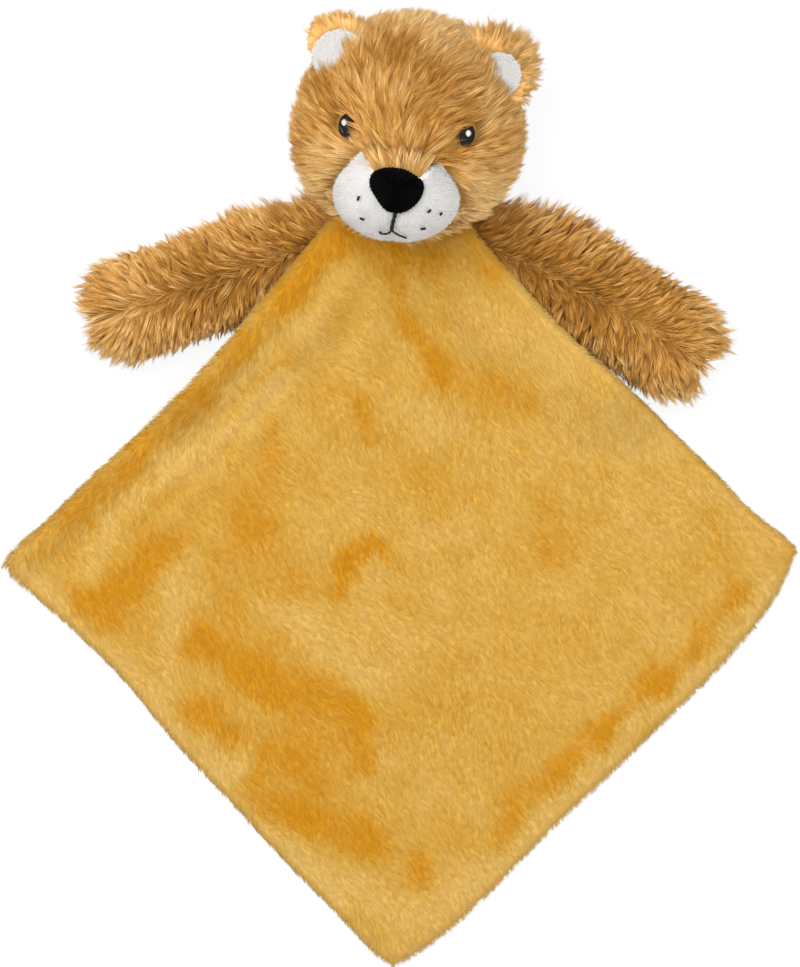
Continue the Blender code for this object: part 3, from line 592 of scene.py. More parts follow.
def lift_over_arm(x, y, arm):
    """The height to which an arm lifts the blanket, also where it swings down by its full range."""
    dx, dy = x - arm["shoulder"][0], y - arm["shoulder"][1]
    mean = arm["heading"] + arm["bend"] / 2
    along = dx * math.cos(mean) + dy * math.sin(mean)
    s = np.clip(along, 0, 0.72 * ARM_LENGTH)
    bowed = arm["bend"] * s * (s / ARM_LENGTH - 1) / 2
    across = np.abs(dy * math.cos(mean) - dx * math.sin(mean) - bowed)
    swing = s * math.sin(ARM_SWING_DOWN)
    beside = np.maximum(across - arm_half_width(s, 0.0) - swing, 0)
    outside = np.hypot(beside, along - s)
    crest = arm_thickness(s + swing) + 0.3 + 0.5 * s / ARM_LENGTH
    return crest * (1 - smooth(outside, 0, RIDGE_FALL))


def lift(x, y):
    """The height of the blanket's back: it hangs from the neck and lies over the arms."""
    reach = np.hypot(x - NECK[0], y - NECK[1])
    angle = np.arctan2(x - NECK[0], NECK[1] - y)
    height = NECK_LIFT * (1 - smooth(reach, 0, CHIN_VALLEY_REACH))
    for arm in ARMS.values():
        height = merged(height, lift_over_arm(x, y, arm))
    rise, fall = smooth(reach, FOLD_START, CHIN_VALLEY_REACH), smooth(reach, CHIN_VALLEY_REACH, FOLD_REACH)
    return height + FOLD_HEIGHT * (rise * (1 - fall)) * (1 - np.cos(FOLDS_PER_TURN * angle)) / 2


def edge_distance(u, v):
    """How far a place lies from the blanket's nearest edge."""
    return np.minimum(np.minimum(u, 1 - u), np.minimum(v, 1 - v)) * BLANKET_SIDE


def cloth_top(x, y, edge):
    """The height of the front cloth, under its pile."""
    rise = np.sqrt(1 - (1 - np.clip(edge / 4.5, 0, 1)) ** 2)
    roll = 1.4 * np.sin(math.pi * np.clip(edge / ROLL_WIDTH, 0, 1))
    waves = 1.3 * cloudy(x, y, 46, 3) + 0.6 * cloudy(x, y, 19, 4)
    return lift(x, y) + 1.3 + 3.0 * rise + roll + waves * smooth(edge, 0, 30)


def upper_left_folds(u, v):
    """The padded roll along the upper left edge and the two soft creases beside it."""
    away = u * BLANKET_SIDE
    roll = 1.8 * np.exp(-(((away - 10) / 6.5) ** 2))
    creases = 1.2 * np.exp(-(((away - 33) / 5) ** 2)) + 1.3 * np.exp(-(((away - 47) / 6) ** 2))
    return roll * smooth(v, 0.15, 0.3) + creases * smooth(v, 0.25, 0.45) * (1 - smooth(v, 0.75, 0.95))


def cloth_spot(u, v, front=True):
    """Places and normals on the blanket's front or back."""
    step = 0.6 / BLANKET_SIDE

    def height(a, b):
        flat = blanket_place(a, b)
        edge = edge_distance(a, b)
        if front:
            z = cloth_top(flat[..., 0], flat[..., 1], edge) + upper_left_folds(a, b)
        else:
            z = lift(flat[..., 0], flat[..., 1]) + 1.2
        return np.concatenate((flat, z[..., None]), -1)

    place = height(u, v)
    first = height(np.clip(u + step, 0, 1), v) - height(np.clip(u - step, 0, 1), v)
    second = height(u, np.clip(v + step, 0, 1)) - height(u, np.clip(v - step, 0, 1))
    normal = unit(np.cross(second, first))
    normal = normal * np.sign(normal[..., 2:3] + 1e-9)
    return place, normal if front else -normal


# Strokes of brushed nap, painted light and shade where the nap catches or loses the light, also beside the creases
# and under the chin: x and y of their start and of their end, half width, and how much paler or deeper
NAP_STROKES = (
    (-41, 164, -61, 140, 7.5, -0.62), (-61, 140, -85, 111, 7.5, -0.5), (-85, 111, -111, 82, 7.5, -0.5),
    (-111, 82, -138, 56, 7.5, -0.5), (-138, 56, -170, 26, 7.5, -0.46), (-170, 26, -194, 3, 8.5, -0.35),
    (-24, 176, -43, 158, 9.0, -0.75), (-12, 160, 16, 157, 7.5, -0.5), (32, 174, 52, 150, 6.5, -0.5),
    (-2, 160, 3, 138, 3.6, -0.4), (20, 152, 24, 128, 5.0, -0.25), (-5, 146, 8, 119, 4.8, -0.35),
    (8, 119, 20, 99, 5.8, -0.5), (20, 102, 20, 96, 6.4, -0.5), (43, 89, 63, 81, 11.7, -0.4),
    (-22, 83, -15, 62, 4.8, -0.5), (-34, 97, -29, 93, 9.5, -0.2), (-70, 66, -73, 45, 7.4, -0.35),
    (-53, 45, -51, 41, 7.4, -0.22), (-81, 26, -73, 21, 10.6, -0.2), (-82, 13, -81, 9, 5.8, -0.5),
    (-73, 14, -66, 16, 3.7, -0.4), (-126, 5, -147, -16, 9, -0.7), (-148, -16, -171, -24, 6.4, -0.55),
    (-154, -33, -146, -36, 7.4, -0.35), (-98, -3, -53, -13, 12.7, -0.16), (-34, -19, -29, -4, 4.8, -0.7),
    (-29, -3, -13, 5, 4.8, -0.75), (-13, 5, 1, -1, 4.2, -0.45), (-5, -20, 0, -23, 4.8, -0.3),
    (6, 45, 18, 39, 7.4, -0.26), (65, -4, 96, 8, 7.4, -0.2), (77, 4, 83, -3, 6.4, -0.2),
    (74, 31, 81, 24, 7.4, -0.16), (167, 19, 178, -22, 6.4, -0.28), (178, -22, 159, -48, 6.4, -0.42),
    (159, -48, 135, -66, 5.8, -0.55), (135, -66, 106, -95, 5.8, -0.55), (106, -95, 84, -114, 6.4, -0.52),
    (84, -114, 59, -131, 8, -0.36), (63, -136, 54, -146, 6.9, -0.5), (29, -144, 40, -149, 9.5, -0.22),
    (11, -171, 17, -173, 8, -0.45), (-112, -50, -103, -45, 5.3, -0.5), (-101, -49, -84, -62, 7.4, -0.5),
    (-83, -62, -37, -74, 9, -0.55), (-72, -67, -66, -72, 5.8, -0.3), (-96, -24, -93, -30, 9, -0.3),
    (-22, -79, -20, -87, 6.9, -0.75), (-22, -97, -21, -101, 4.8, -0.3), (-22, -110, -20, -113, 5.3, -0.55),
    (-103, -84, -91, -92, 6.4, -0.7), (-119, -82, -113, -86, 5.3, -0.4), (-71, -104, -80, -117, 3.7, -0.5),
    (-52, -112, -45, -120, 6.9, -0.42), (-60, -107, -57, -110, 4.8, -0.3), (-82, -125, -53, -138, 6.9, -0.45),
    (-53, -136, -17, -154, 6.9, -0.58), (-17, -154, 11, -165, 6.4, -0.3), (1, -86, 28, -89, 9.5, -0.18),
    (8, -72, 13, -75, 7.4, -0.18), (-68, -92, -35, -99, 11.7, -0.2), (-29, 155, -52, 118, 6.4, 0.26),
    (-70, 108, -124, 47, 3.6, 0.4), (-59, 105, -132, 39, 2.1, -0.24), (-56, 94, -153, 22, 4.8, 0.42),
    (-154, 21, -166, -6, 5.3, 0.26), (-116, -3, -124, -72, 6.4, 0.34), (-71, -29, -53, -34, 7.4, 0.3),
    (-53, -34, -15, -67, 7.4, 0.3), (12, 76, 16, 72, 8.5, 0.24), (53, 123, 86, 97, 10.1, 0.26),
    (117, 81, 117, 29, 4.8, 0.2), (128, 65, 159, 34, 3.2, 0.16), (-198, -14, -118, -92, 6.0, 0.42),
    (-91, -110, -88, -114, 6.9, 0.34), (-81, -83, -77, -87, 4.8, 0.26), (-104, -104, -32, -181, 6.5, 0.4),
    (-48, -163, 0, -192, 10.6, 0.3), (-14, -93, -12, -110, 4.2, 0.2), (196, -20, 21, -192, 6.2, 0.46),
    (187, -1, 191, -5, 10.6, 0.16), (37, -30, 117, -25, 14.8, 0.08), (15, -181, 24, -176, 8.5, 0.15),
)


def nap_of(x, y):
    """How pale the brushed nap looks, from 0, deep, to 1, pale: painted light and shade of the nap, with a painted
    shade round the head.
    """
    along, across = 0.5 * x - 0.87 * y, 0.87 * x + 0.5 * y
    brushed = 10 * (cloudy(along / 5, across, 1.8, 17) - 0.5)
    wx = x + 8 * (cloudy(x, y, 18, 11) - 0.5) + 3 * (cloudy(x, y, 6, 12) - 0.5) + 0.25 * brushed
    wy = y + 8 * (cloudy(x, y, 18, 13) - 0.5) + 3 * (cloudy(x, y, 6, 14) - 0.5) - 0.44 * brushed
    nap = 0.575 + 0.18 * (cloudy(x, y, 34, 15) - 0.5) + 0.26 * (cloudy(x, y, 11, 16) - 0.5)
    nap = nap + 0.16 * (cloudy(along / 6, across, 1.5, 18) - 0.5) - 0.12 * smooth(-x, -20, 60) * smooth(-y, -60, 20)
    for ax, ay, end_x, end_y, half_width, change in NAP_STROKES:
        bx, by = end_x - ax, end_y - ay
        t = np.clip(((wx - ax) * bx + (wy - ay) * by) / (bx * bx + by * by), 0, 1)
        away = np.hypot(wx - ax - t * bx, wy - ay - t * by) / half_width
        nap = nap + 0.9 * change * np.exp(-((away / 1.25) ** 2))
    # Painted shade: the nap is deepened round the head, where the head's shadow falls on the blanket.
    near_head = np.hypot(x - HEAD_MIDDLE[0], y - HEAD_MIDDLE[1])
    nap = nap - 0.3 * (1 - smooth(near_head, 48, 66))
    return 0.5 + 0.5 * np.tanh((nap - 0.5) / 0.5)


def blanket_lines():
    """Where the cloth's grid has its lines, from 0 to 1, with finer ones along the edges."""
    first = np.array((0.0, 0.25, 0.7, 1.4, 2.3, 3.4, 4.8, 6.4)) / BLANKET_SIDE
    inner = np.linspace(first[-1], 1 - first[-1], 170)[1:-1]
    return np.concatenate((first, inner, 1 - first[::-1]))


NECKLINE_RADIUS = 47.0  # of the hole in the cloth and the pile, under the head


def from_head(points):
    """How far points lie from the head's middle, seen from above."""
    return np.hypot(points[..., 0] - HEAD_MIDDLE[0], points[..., 1] - HEAD_MIDDLE[1])


def blanket_cloth(name, front, material):
    """The cloth of one panel, with a round hole under the head."""
    lines = blanket_lines() if front else blanket_lines()[3:-3]
    u, v = np.meshgrid(lines, lines)
    place, _ = cloth_spot(u, v, front)
    reach = from_head(place)
    close = (reach < NECKLINE_RADIUS) & (reach > NECKLINE_RADIUS - 3)
    ratio = np.where(close, NECKLINE_RADIUS / np.maximum(reach, 1), 1)
    for axis in (0, 1):
        middle = HEAD_MIDDLE[axis]
        place[..., axis] = middle + (place[..., axis] - middle) * ratio
    count = len(lines)
    cut = (reach < NECKLINE_RADIUS - 3).reshape(-1)
    faces = [face for face in grid_faces(count, count) if not cut[list(face)].any()]
    used = np.unique(np.array(faces))
    new = np.full(count * count, -1)
    new[used] = np.arange(len(used))
    faces = [tuple(int(new[i]) for i in (face if not front else face[::-1])) for face in faces]
    points = place.reshape(-1, 3)[used]
    nap = nap_of(points[:, 0], points[:, 1])
    return with_thickness(plain_mesh(name, points, faces, material, {"nap": nap}), 1.0)


def nap_flow(x, y, edge_left):
    """The way the short pile is brushed: down and to the right, and down the left rim."""
    angle = math.radians(-58) + 0.9 * (cloudy(x, y, 34, 21) - 0.5) + 0.5 * (cloudy(x, y, 12, 22) - 0.5)
    angle = angle - 0.9 * (1 - smooth(edge_left, 8, 26))
    return np.stack((np.cos(angle), np.sin(angle), np.zeros_like(angle)), -1)


def rim_way(u, v):
    """The way out over the nearest edge, which fades within a few millimetres of it."""
    down, right = unit(BLANKET_LEFT - BLANKET_TOP), unit(BLANKET_RIGHT - BLANKET_TOP)
    ways = np.zeros((*np.shape(u), 3))
    for share, way in ((u, -right), (1 - u, right), (v, -down), (1 - v, down)):
        near = 1 - smooth(share * BLANKET_SIDE, 0.5, 5.0)
        ways[..., :2] += near[..., None] * way
    return ways


def blanket_pile(name, part_of, front, tufts, each, length, width, lean, material, seed):
    """Short pile over one quarter of the blanket's front, or half of its back."""
    low_u, high_u, low_v, high_v = part_of
    rng = np.random.default_rng(seed)
    pairs = even_pairs(tufts, seed)
    rim = rng.random((tufts // 3, 2))
    rim[:, 0] = rng.random(len(rim)) * 2.2 / BLANKET_SIDE
    flip = rng.integers(0, 4, len(rim))
    edges = np.where((flip % 2 == 0)[:, None], rim, rim[:, ::-1])
    edges = np.where((flip > 1)[:, None], 1 - edges, edges)
    u0 = low_u + (high_u - low_u) * pairs[:, 0]
    v0 = low_v + (high_v - low_v) * pairs[:, 1]
    inside = ((edges >= (low_u, low_v)) & (edges < (high_u, high_v))).all(axis=1)
    u0, v0 = np.concatenate((u0, edges[inside, 0])), np.concatenate((v0, edges[inside, 1]))
    tuft_of = np.repeat(np.arange(len(u0)), each)
    u = np.clip(u0[tuft_of] + rng.normal(0, 0.9 / BLANKET_SIDE, len(tuft_of)), 0, 1)
    v = np.clip(v0[tuft_of] + rng.normal(0, 0.9 / BLANKET_SIDE, len(tuft_of)), 0, 1)
    place, normal = cloth_spot(u, v, front)
    keep = from_head(place) > NECKLINE_RADIUS
    place, normal, tuft_of, u, v = (values[keep] for values in (place, normal, tuft_of, u, v))
    tuft_place, tuft_normal = cloth_spot(u0, v0, front)

    def flows(place, normal, u, v):
        x, y = place[:, 0], place[:, 1]
        flow = nap_flow(x, y, u * BLANKET_SIDE) + rim_way(u, v) * 1.6
        return tangent(flow, normal)

    def calm(normal, u, v):
        """Normals that slopes turn less, away from the rim."""
        inner = smooth(edge_distance(u, v), 0.8, 4.5)
        return unit(normal + np.array((0.0, 0.0, 1.7)) * inner[:, None])

    spots = (place, calm(normal, u, v), flows(place, normal, u, v))
    middles = (tuft_place, calm(tuft_normal, u0, v0), flows(tuft_place, tuft_normal, u0, v0))
    x, y = place[:, 0], place[:, 1]
    along, across = 0.5 * x - 0.87 * y, 0.87 * x + 0.5 * y
    from_edge = edge_distance(u, v)
    rim_share = 1 - smooth(from_edge, 0.5, 5.0)
    band = smooth(v, 0.3, 0.5) * (1 - smooth(u * BLANKET_SIDE, 12, 24))
    # Painted light: the rolled rim is painted paler, against the shade on its slope.
    shades = nap_of(x, y) + 0.3 * (1 - smooth(from_edge, 0.5, 8.0))
    shades = shades + 0.3 * (cloudy(along / 6, across, 1.0, 19) - 0.5)
    shades = shades + rng.normal(0, 1, len(place)) * (0.06 + 0.06 * rim_share + 0.08 * band)
    # Painted light: the band along the upper left roll is also painted a little paler.
    shades = shades + rng.normal(0, 1, len(u0))[tuft_of] * (0.02 + 0.14 * band) + 0.08 * band
    lengths = length * (1 + 0.25 * rim_share + 0.35 * band)
    return grow(name, spots, middles, tuft_of, lengths, width, lean, 0.25, 0.15, shades, material, seed, 3, 0.85)


# The arms' shape


def arm_thickness(s):
    return ARM_ROOT_THICKNESS + (ARM_PAW_THICKNESS - ARM_ROOT_THICKNESS) * smooth(s, 75, 138)


def arm_half_width(s, inset):
    widen = smooth(s, 0, 0.36 * ARM_LENGTH)
    return ARM_ROOT_HALF_WIDTH + (ARM_PAW_HALF_WIDTH - ARM_ROOT_HALF_WIDTH) * widen - inset


def arm_spot(arm, s, turn, inset):
    """Places on an arm at s along it and turned round it, with normals and the ways across and
    along. The cloth lies inside the solid by the inset."""
    length = arm["length"]
    tip_start = length - ARM_PAW_HALF_WIDTH
    root, paw = ARM_ROOT_HALF_WIDTH - inset, ARM_PAW_HALF_WIDTH - inset
    end = np.where(s < 0, s / root, np.where(s > tip_start, (s - tip_start) / paw, 0))
    close = np.sqrt(np.clip(1 - end * end, 0, 1))
    wide, thick = arm_half_width(s, inset), arm_thickness(s) / 2 - inset
    turned = arm["heading"] + arm["bend"] * np.clip(s, 0, None) / length
    radius = length / arm["bend"]
    straight = np.minimum(s, 0)
    x = radius * (np.sin(turned) - math.sin(arm["heading"])) + straight * math.cos(arm["heading"])
    y = radius * (math.cos(arm["heading"]) - np.cos(turned)) + straight * math.sin(arm["heading"])
    cos, sin = np.cos(turn), np.sin(turn)
    across = wide * close * np.sign(cos) * np.abs(cos) ** 0.86
    up = thick * close * np.sign(sin) * np.abs(sin) ** 0.86
    middle = arm_thickness(s) / 2 - 0.5
    side = np.stack((-np.sin(turned), np.cos(turned), np.zeros_like(turned)), -1)
    ahead = np.stack((np.cos(turned), np.sin(turned), np.zeros_like(turned)), -1)
    place = np.stack((arm["shoulder"][0] + x, arm["shoulder"][1] + y, middle), -1)
    place = place + side * across[..., None]
    place[..., 2] = np.maximum(place[..., 2] + up, LOWEST_CLOTH)
    push = np.where(end == 0, 0, end / np.where(s < 0, root, paw))
    normal = side * (across / wide**2)[..., None] + ahead * push[..., None]
    normal[..., 2] += up / thick**2
    return place, unit(normal), side, ahead


def arm_rings(arm, inset, start, end, steps, sides):
    """Rings along an arm, each from the start turn to the end turn round it."""
    low, high = inset - ARM_ROOT_HALF_WIDTH, arm["length"] - inset
    s = low + (high - low) * (1 - np.cos(math.pi * np.linspace(0.02, 0.98, steps))) / 2
    grid_s, grid_turn = np.meshgrid(s, np.linspace(start, end, sides), indexing="ij")
    return arm_spot(arm, grid_s, grid_turn, inset)[0]


def arm_pile(name, side, front, tufts, each, length, material, seed):
    """Long pile that parts along the middle of the arm and sweeps out towards the paw."""
    arm = ARMS[side]
    rng = np.random.default_rng(seed)
    pairs = even_pairs(tufts, seed)
    full = arm["length"]
    low, high = 4.0 - ARM_ROOT_HALF_WIDTH, full - 3.6
    s0 = low + (high - low) * pairs[:, 0] ** 0.93
    span = 1.22 * math.pi if front else 0.9 * math.pi
    middle = math.pi / 2 if front else 1.5 * math.pi
    turn0 = middle + span * (pairs[:, 1] - 0.5)
    tuft_of = np.repeat(np.arange(tufts), each)
    count = len(tuft_of)
    s = np.clip(s0[tuft_of] + rng.normal(0, 0.9, count), low, high)
    turn = turn0[tuft_of] + rng.normal(0, 0.045, count)

    def spots(s, turn):
        place, normal, across, ahead = arm_spot(arm, s, turn, ARM_CLOTH_INSET)
        cos = np.cos(turn)
        way = across * (np.sign(cos) * np.minimum(np.abs(cos) * 3 + 0.25, 1.0))[:, None]
        tip = smooth(s, full - 40, full)
        flow = tangent(way * (1 - 0.45 * tip)[:, None] + ahead * (0.5 + 0.7 * tip)[:, None], normal)
        return place, normal, flow

    own, middles = spots(s, turn), spots(s0, turn0)
    # Painted shade along the parting, deepest near the shoulder.
    parting = np.exp(-((np.cos(turn) / 0.35) ** 2)) * (1 - smooth(s, 70, 125))
    shades = 0.34 - 0.2 * parting + 0.2 * smooth(s, 70, full) + 0.16 * smooth(np.abs(np.cos(turn)), 0.6, 1)
    shades = shades - 0.05 * arm["side"]
    near = 1 - smooth(s, 90, 135)
    own_noise, tuft_noise = rng.normal(0, 1, count), rng.normal(0, 1, tufts)[tuft_of]
    shades = shades + tuft_noise * (0.08 + 0.06 * near) + own_noise * (0.1 + 0.1 * near)
    # Painted shade at the sides of each lock.
    shades = shades + lock_side_shade(own[0], *middles, tuft_of, 0.16) + 0.02
    shades = shades + 0.3 * (cloudy(own[0][:, 0], own[0][:, 1], 14, seed) - 0.5)
    lengths = np.full(count, length * (1 if front else 0.7))
    places = np.linspace(0, 1, len(arm["upper"])) * full
    trims = [np.interp(s, places, arm[edge]) for edge in ("upper", "lower")]
    rises = own[2][:, 1] > 0
    beside = smooth(np.abs(np.cos(turn)), 0.35, 0.9)
    lengths = np.maximum(lengths + np.where(rises, *trims) * beside, 4)
    lean = 0.42 + 0.5 * np.abs(np.cos(turn0)) if front else np.full(tufts, 0.35)
    return grow(name, own, middles, tuft_of, lengths, 0.52, lean, 0.3, 0.82, shades, material, seed, soft=0.2)


# The head's shape


def to_world(points):
    """From the head's own axes, across, up the face and out of it."""
    cos, sin = math.cos(HEAD_TILT), math.sin(HEAD_TILT)
    x = HEAD_MIDDLE[0] + cos * points[..., 0] + sin * points[..., 1]
    y = HEAD_MIDDLE[1] - sin * points[..., 0] + cos * points[..., 1]
    return np.stack((x, y, HEAD_MIDDLE[2] + points[..., 2]), -1)


def turn_to_world(vectors):
    return to_world(vectors) - HEAD_MIDDLE


def all_to_world(place, normal, flow):
    return to_world(place), turn_to_world(normal), turn_to_world(flow)


def dome_height(x, y, radii, middle=(0.0, 0.0, 0.0)):
    left = 1 - ((x - middle[0]) / radii[0]) ** 2 - ((y - middle[1]) / radii[1]) ** 2
    return middle[2] + radii[2] * np.sqrt(np.maximum(left, 0))


def head_spot(directions):
    """Places and normals on the head's cloth, in its own axes, where the snout swells out of it."""
    place = directions * HEAD_CLOTH_RADII
    low = np.clip(-place[..., 1] / 56.0, 0, 1)
    high = np.clip(place[..., 1] / 56.0, 0, 1)
    place[..., 0] *= 1 + 0.03 * np.sin(math.pi * low) - 0.02 * high
    normal = unit(directions / HEAD_CLOTH_RADII)
    snout = dome_height(place[..., 0], place[..., 1], SNOUT_CLOTH_RADII, MUZZLE_MIDDLE)
    gone = ((place[..., :2] - MUZZLE_MIDDLE[:2]) / SNOUT_CLOTH_RADII[:2]) ** 2
    over = (gone.sum(-1) < 1) & (directions[..., 2] > 0) & (snout > place[..., 2])
    place[..., 2] = np.where(over, snout, place[..., 2])
    snout_normal = unit((place - MUZZLE_MIDDLE) / SNOUT_CLOTH_RADII**2)
    normal = np.where(over[..., None], snout_normal, normal)
    place[..., 2] = np.maximum(place[..., 2], LOWEST_CLOTH - HEAD_MIDDLE[2])
    return place, normal


def head_rings(low, high, rows, count):
    """Directions in rings from the front of the head, at share 0, to its back, at share 1."""
    return directions_of(math.pi * np.linspace(low, high, rows), turns_round(count))


def in_bridge(x, y):
    """Whether a place lies on the tan wedge between the two white pads."""
    half_width = 14.6 + 3.8 * np.clip((y + 26) / 9, 0, 1.4)
    return (y > -27.0) & (np.abs(x - MUZZLE_MIDDLE[0]) < half_width)


def on_white(place, lowest=0.0):
    """Whether a place lies on one of the white pads, which rise to a point beside the bridge."""
    x, y = place[..., 0], place[..., 1]
    wider = (-0.5 + 2.6 * smooth(y, -46, -20))[..., None]
    gone = ((place[..., :2] - MUZZLE_MIDDLE[:2]) / (MUZZLE_RADII[:2] + wider)) ** 2
    left = (y + 15.2) * 0.6 - (x + 22.0) * 0.8
    right = (y + 17.6) * 0.655 + (x - 17.5) * 0.76
    return (gone.sum(-1) < 1) & (left < 0.4) & (right < 0.4) & (place[..., 2] > lowest) & ~in_bridge(x, y)


def head_flow(place):
    """The face's pile runs outward from the top of the nose."""
    x, y, z = place[..., 0], place[..., 1], place[..., 2]
    upward = smooth(y, -22, 10) * smooth(np.abs(x), 45, 15)
    swirl = 0.7 * (cloudy(x, y, 19, 31) - 0.5) + 0.4 * (cloudy(x, y, 9, 32) - 0.5) - 0.28 * upward
    bridge = 24 * np.exp(-(((x + 3) / 22) ** 2)) * smooth(y, -34, -24)
    behind = smooth(-z, 2, 16)
    bridge = bridge * (1 - behind) + 30 * behind
    flow = unit(np.stack((x + 4.5, y + 22.0 + bridge, -0.4 * np.abs(z)), -1))
    cos, sin = np.cos(swirl), np.sin(swirl)
    across, up, out = flow[..., 0], flow[..., 1], flow[..., 2]
    return np.stack((across * cos - up * sin, across * sin + up * cos, out), -1)


def ear_axes(side):
    """The way out of the head along the ear, and the way across it, in the head's axes."""
    angle = EARS[side]["angle"]
    return np.array((math.cos(angle), math.sin(angle))), np.array((-math.sin(angle), math.cos(angle)))


EAR_START, EAR_HEIGHT, EAR_HALF_WIDTH = 46.0, 21.5, 14.5
EAR_BASE = 6.0  # how far out of its root the ear is widest
# Rings of the ear's back and of its lining: share of the rim, and height over the dish
EAR_BACK_RINGS = (
    (0.05, 0), (0.4, 0), (0.7, 0), (0.9, 0), (0.98, -0.5),
    (1.0, -1.3), (0.96, -2.2), (0.7, -3.4), (0.4, -4.2), (0.05, -4.4),
)
EAR_LINING_RINGS = (
    (0.04, 1.5), (0.3, 1.4), (0.6, 1.2), (0.85, 0.9), (0.96, 0.4), (1.0, 0.1), (0.6, 0.05), (0.05, 0.05),
)


def ear_rise(turn):
    """How far over or under its widest line the ear's rim lies."""
    return np.where(np.sin(turn) > 0, np.sin(turn) * (EAR_HEIGHT - EAR_BASE), np.sin(turn) * EAR_BASE)


def ear_place(side, across, out, above=0.0):
    """A place on the ear's dished front, in the head's axes."""
    away, aside = ear_axes(side)
    reach = EAR_START + out
    flat = away * reach[..., None] + aside * across[..., None]
    rim = (across / EAR_HALF_WIDTH) ** 2 + (np.clip(out, 0, None) / EAR_HEIGHT) ** 2
    z = 15.5 - 0.36 * out + 2.6 * rim - 1.0 + above
    return np.concatenate((flat, z[..., None]), -1)


def shorten_over(place, flow, lengths, middle, radii, turn, keep):
    """Cuts back the strands that would lie over an oval, such as an eye or an ear's lining."""
    cos, sin = math.cos(turn), math.sin(turn)

    def local(points):
        x, y = points[..., 0] - middle[0], points[..., 1] - middle[1]
        return np.hypot((x * cos + y * sin) / radii[0], (y * cos - x * sin) / radii[1])

    flat = unit(flow[..., :2])
    result = lengths.copy()
    for step in np.linspace(1.0, 0.1, 10):
        probe = place[..., :2] + flat * (lengths * 1.05 * step)[..., None]
        result = np.where(local(probe) < 1, np.minimum(result, np.maximum(lengths * (step - 0.1), keep)), result)
    return result


def lock_side_shade(place, tuft_place, tuft_normal, tuft_flow, tuft_of, amount):
    """Painted shade of the locks: strands at the sides of a lock are deeper in colour than those on its ridge."""
    aside = np.cross(tuft_normal, tuft_flow)[tuft_of]
    lateral = np.abs(np.sum((place - tuft_place[tuft_of]) * aside, axis=-1))
    return -amount * smooth(lateral, 0.5, 2.0)


# Deep patches of the face's pile: middle, and how wide and tall
DEEP_PATCHES = ((-40, 6, 6, 9), (18, 2, 5, 12), (-14, 21, 10, 5), (6, 20, 12, 5), (-8, 34, 8, 6))


def head_pile(name, wanted, tufts, each, length, width, lean, material, seed):
    """Long pile on the part of the head where wanted is true."""
    rng = np.random.default_rng(seed)
    directions = even_directions(tufts, seed)
    tuft_place, tuft_normal = head_spot(directions)
    good = wanted(directions) & ~on_white(tuft_place, 12.0)
    directions, tuft_place, tuft_normal = (values[good] for values in (directions, tuft_place, tuft_normal))
    tuft_of = np.repeat(np.arange(len(directions)), each)
    count = len(tuft_of)
    own = unit(directions[tuft_of] + rng.normal(0, 0.03, (count, 3)))
    place, normal = head_spot(own)
    keep = ~on_white(place, 12.0)
    for side in (-1, 1):
        for spot in (place, tuft_place[tuft_of]):
            off_eye = np.hypot((spot[:, 0] - side * EYE_ACROSS) / 4.7, (spot[:, 1] - EYE_UP) / 6.8) > 1
            keep &= off_eye | (spot[:, 2] < 0)
    place, normal, tuft_of = place[keep], normal[keep], tuft_of[keep]
    flow = tangent(head_flow(place), normal)
    tuft_flow = tangent(head_flow(tuft_place), tuft_normal)
    x, y, z = place[:, 0], place[:, 1], place[:, 2]
    lengths = np.full(len(place), length)
    middle_face = np.exp(-((x / 20) ** 2) - ((y + 22) / 12) ** 2)
    lengths = lengths * (1 - 0.12 * middle_face)
    lengths = lengths * (1 - 0.2 * (1 - np.abs(normal[:, 2]))) - 3.0 * smooth(-x, 35, 55) - 1.2 * smooth(x, 35, 55)
    lengths = np.where(on_white(place) & (z < 20), 5.5, lengths)
    eyes = [((side * EYE_ACROSS, EYE_UP), (5.4, 7.6), 0.0, 0.8) for side in (-1, 1)]
    tips = [((-25.0, -20.5), (3.4, 6.6), -0.64, 2.0), ((20.0, -21.5), (2.8, 5.6), 0.71, 2.0)]
    linings = [
        (ear_axes(side)[0] * (EAR_START + out), radii, EARS[side]["angle"], 4.0)
        for side, out, radii in (("left", 13.5, (9.5, 12.0)), ("right", 15.5, (7.5, 10.5)))
    ]
    for ovals, where in ((eyes, z > 0), (tips, True), (linings, z > 0)):
        for oval in ovals:
            lengths = np.where(where, shorten_over(place, flow, lengths, *oval), lengths)
    shades = 0.46 + 0.3 * (cloudy(x, y, 15, 201) - 0.5) + 0.3 * (cloudy(x, y, 6, 202) - 0.5)
    # Painted light: the right side and the crown, which turn from the lamp, are painted paler.
    shades = shades + 0.14 * smooth(x, 15, 45) + 0.34 * smooth(y, 26, 46)
    shades = shades + rng.normal(0, 0.11, len(directions))[tuft_of]
    shades = shades + rng.normal(0, 1, len(place)) * (0.11 + 0.12 * smooth(y, -5, 30))
    # Painted shade at the sides of each lock.
    shades = shades + lock_side_shade(place, tuft_place, tuft_normal, tuft_flow, tuft_of, 0.3) + 0.12
    # Painted light: the lower face, the crown and the right side are painted paler still, against the shade there.
    shades = shades + 0.3 * smooth(-y, 12, 36) + 0.08 * smooth(y, 22, 45) + 0.1 * smooth(x, 10, 40)
    for spot_x, spot_y, wide, tall in DEEP_PATCHES:
        shades = shades - 0.32 * np.exp(-(((x - spot_x) / wide) ** 2) - ((y - spot_y) / tall) ** 2)
    shades = shades - 0.03 * np.exp(-(((x + 2) / 14) ** 2) - ((y + 8) / 14) ** 2)
    spots, middles = all_to_world(place, normal, flow), all_to_world(tuft_place, tuft_normal, tuft_flow)
    tuft_lean = lean * (0.42 + 0.85 * (1 - np.abs(tuft_normal[:, 2])))
    return grow(name, spots, middles, tuft_of, lengths, width, tuft_lean, 0.3, 0.8, shades, material, seed, soft=0.25)


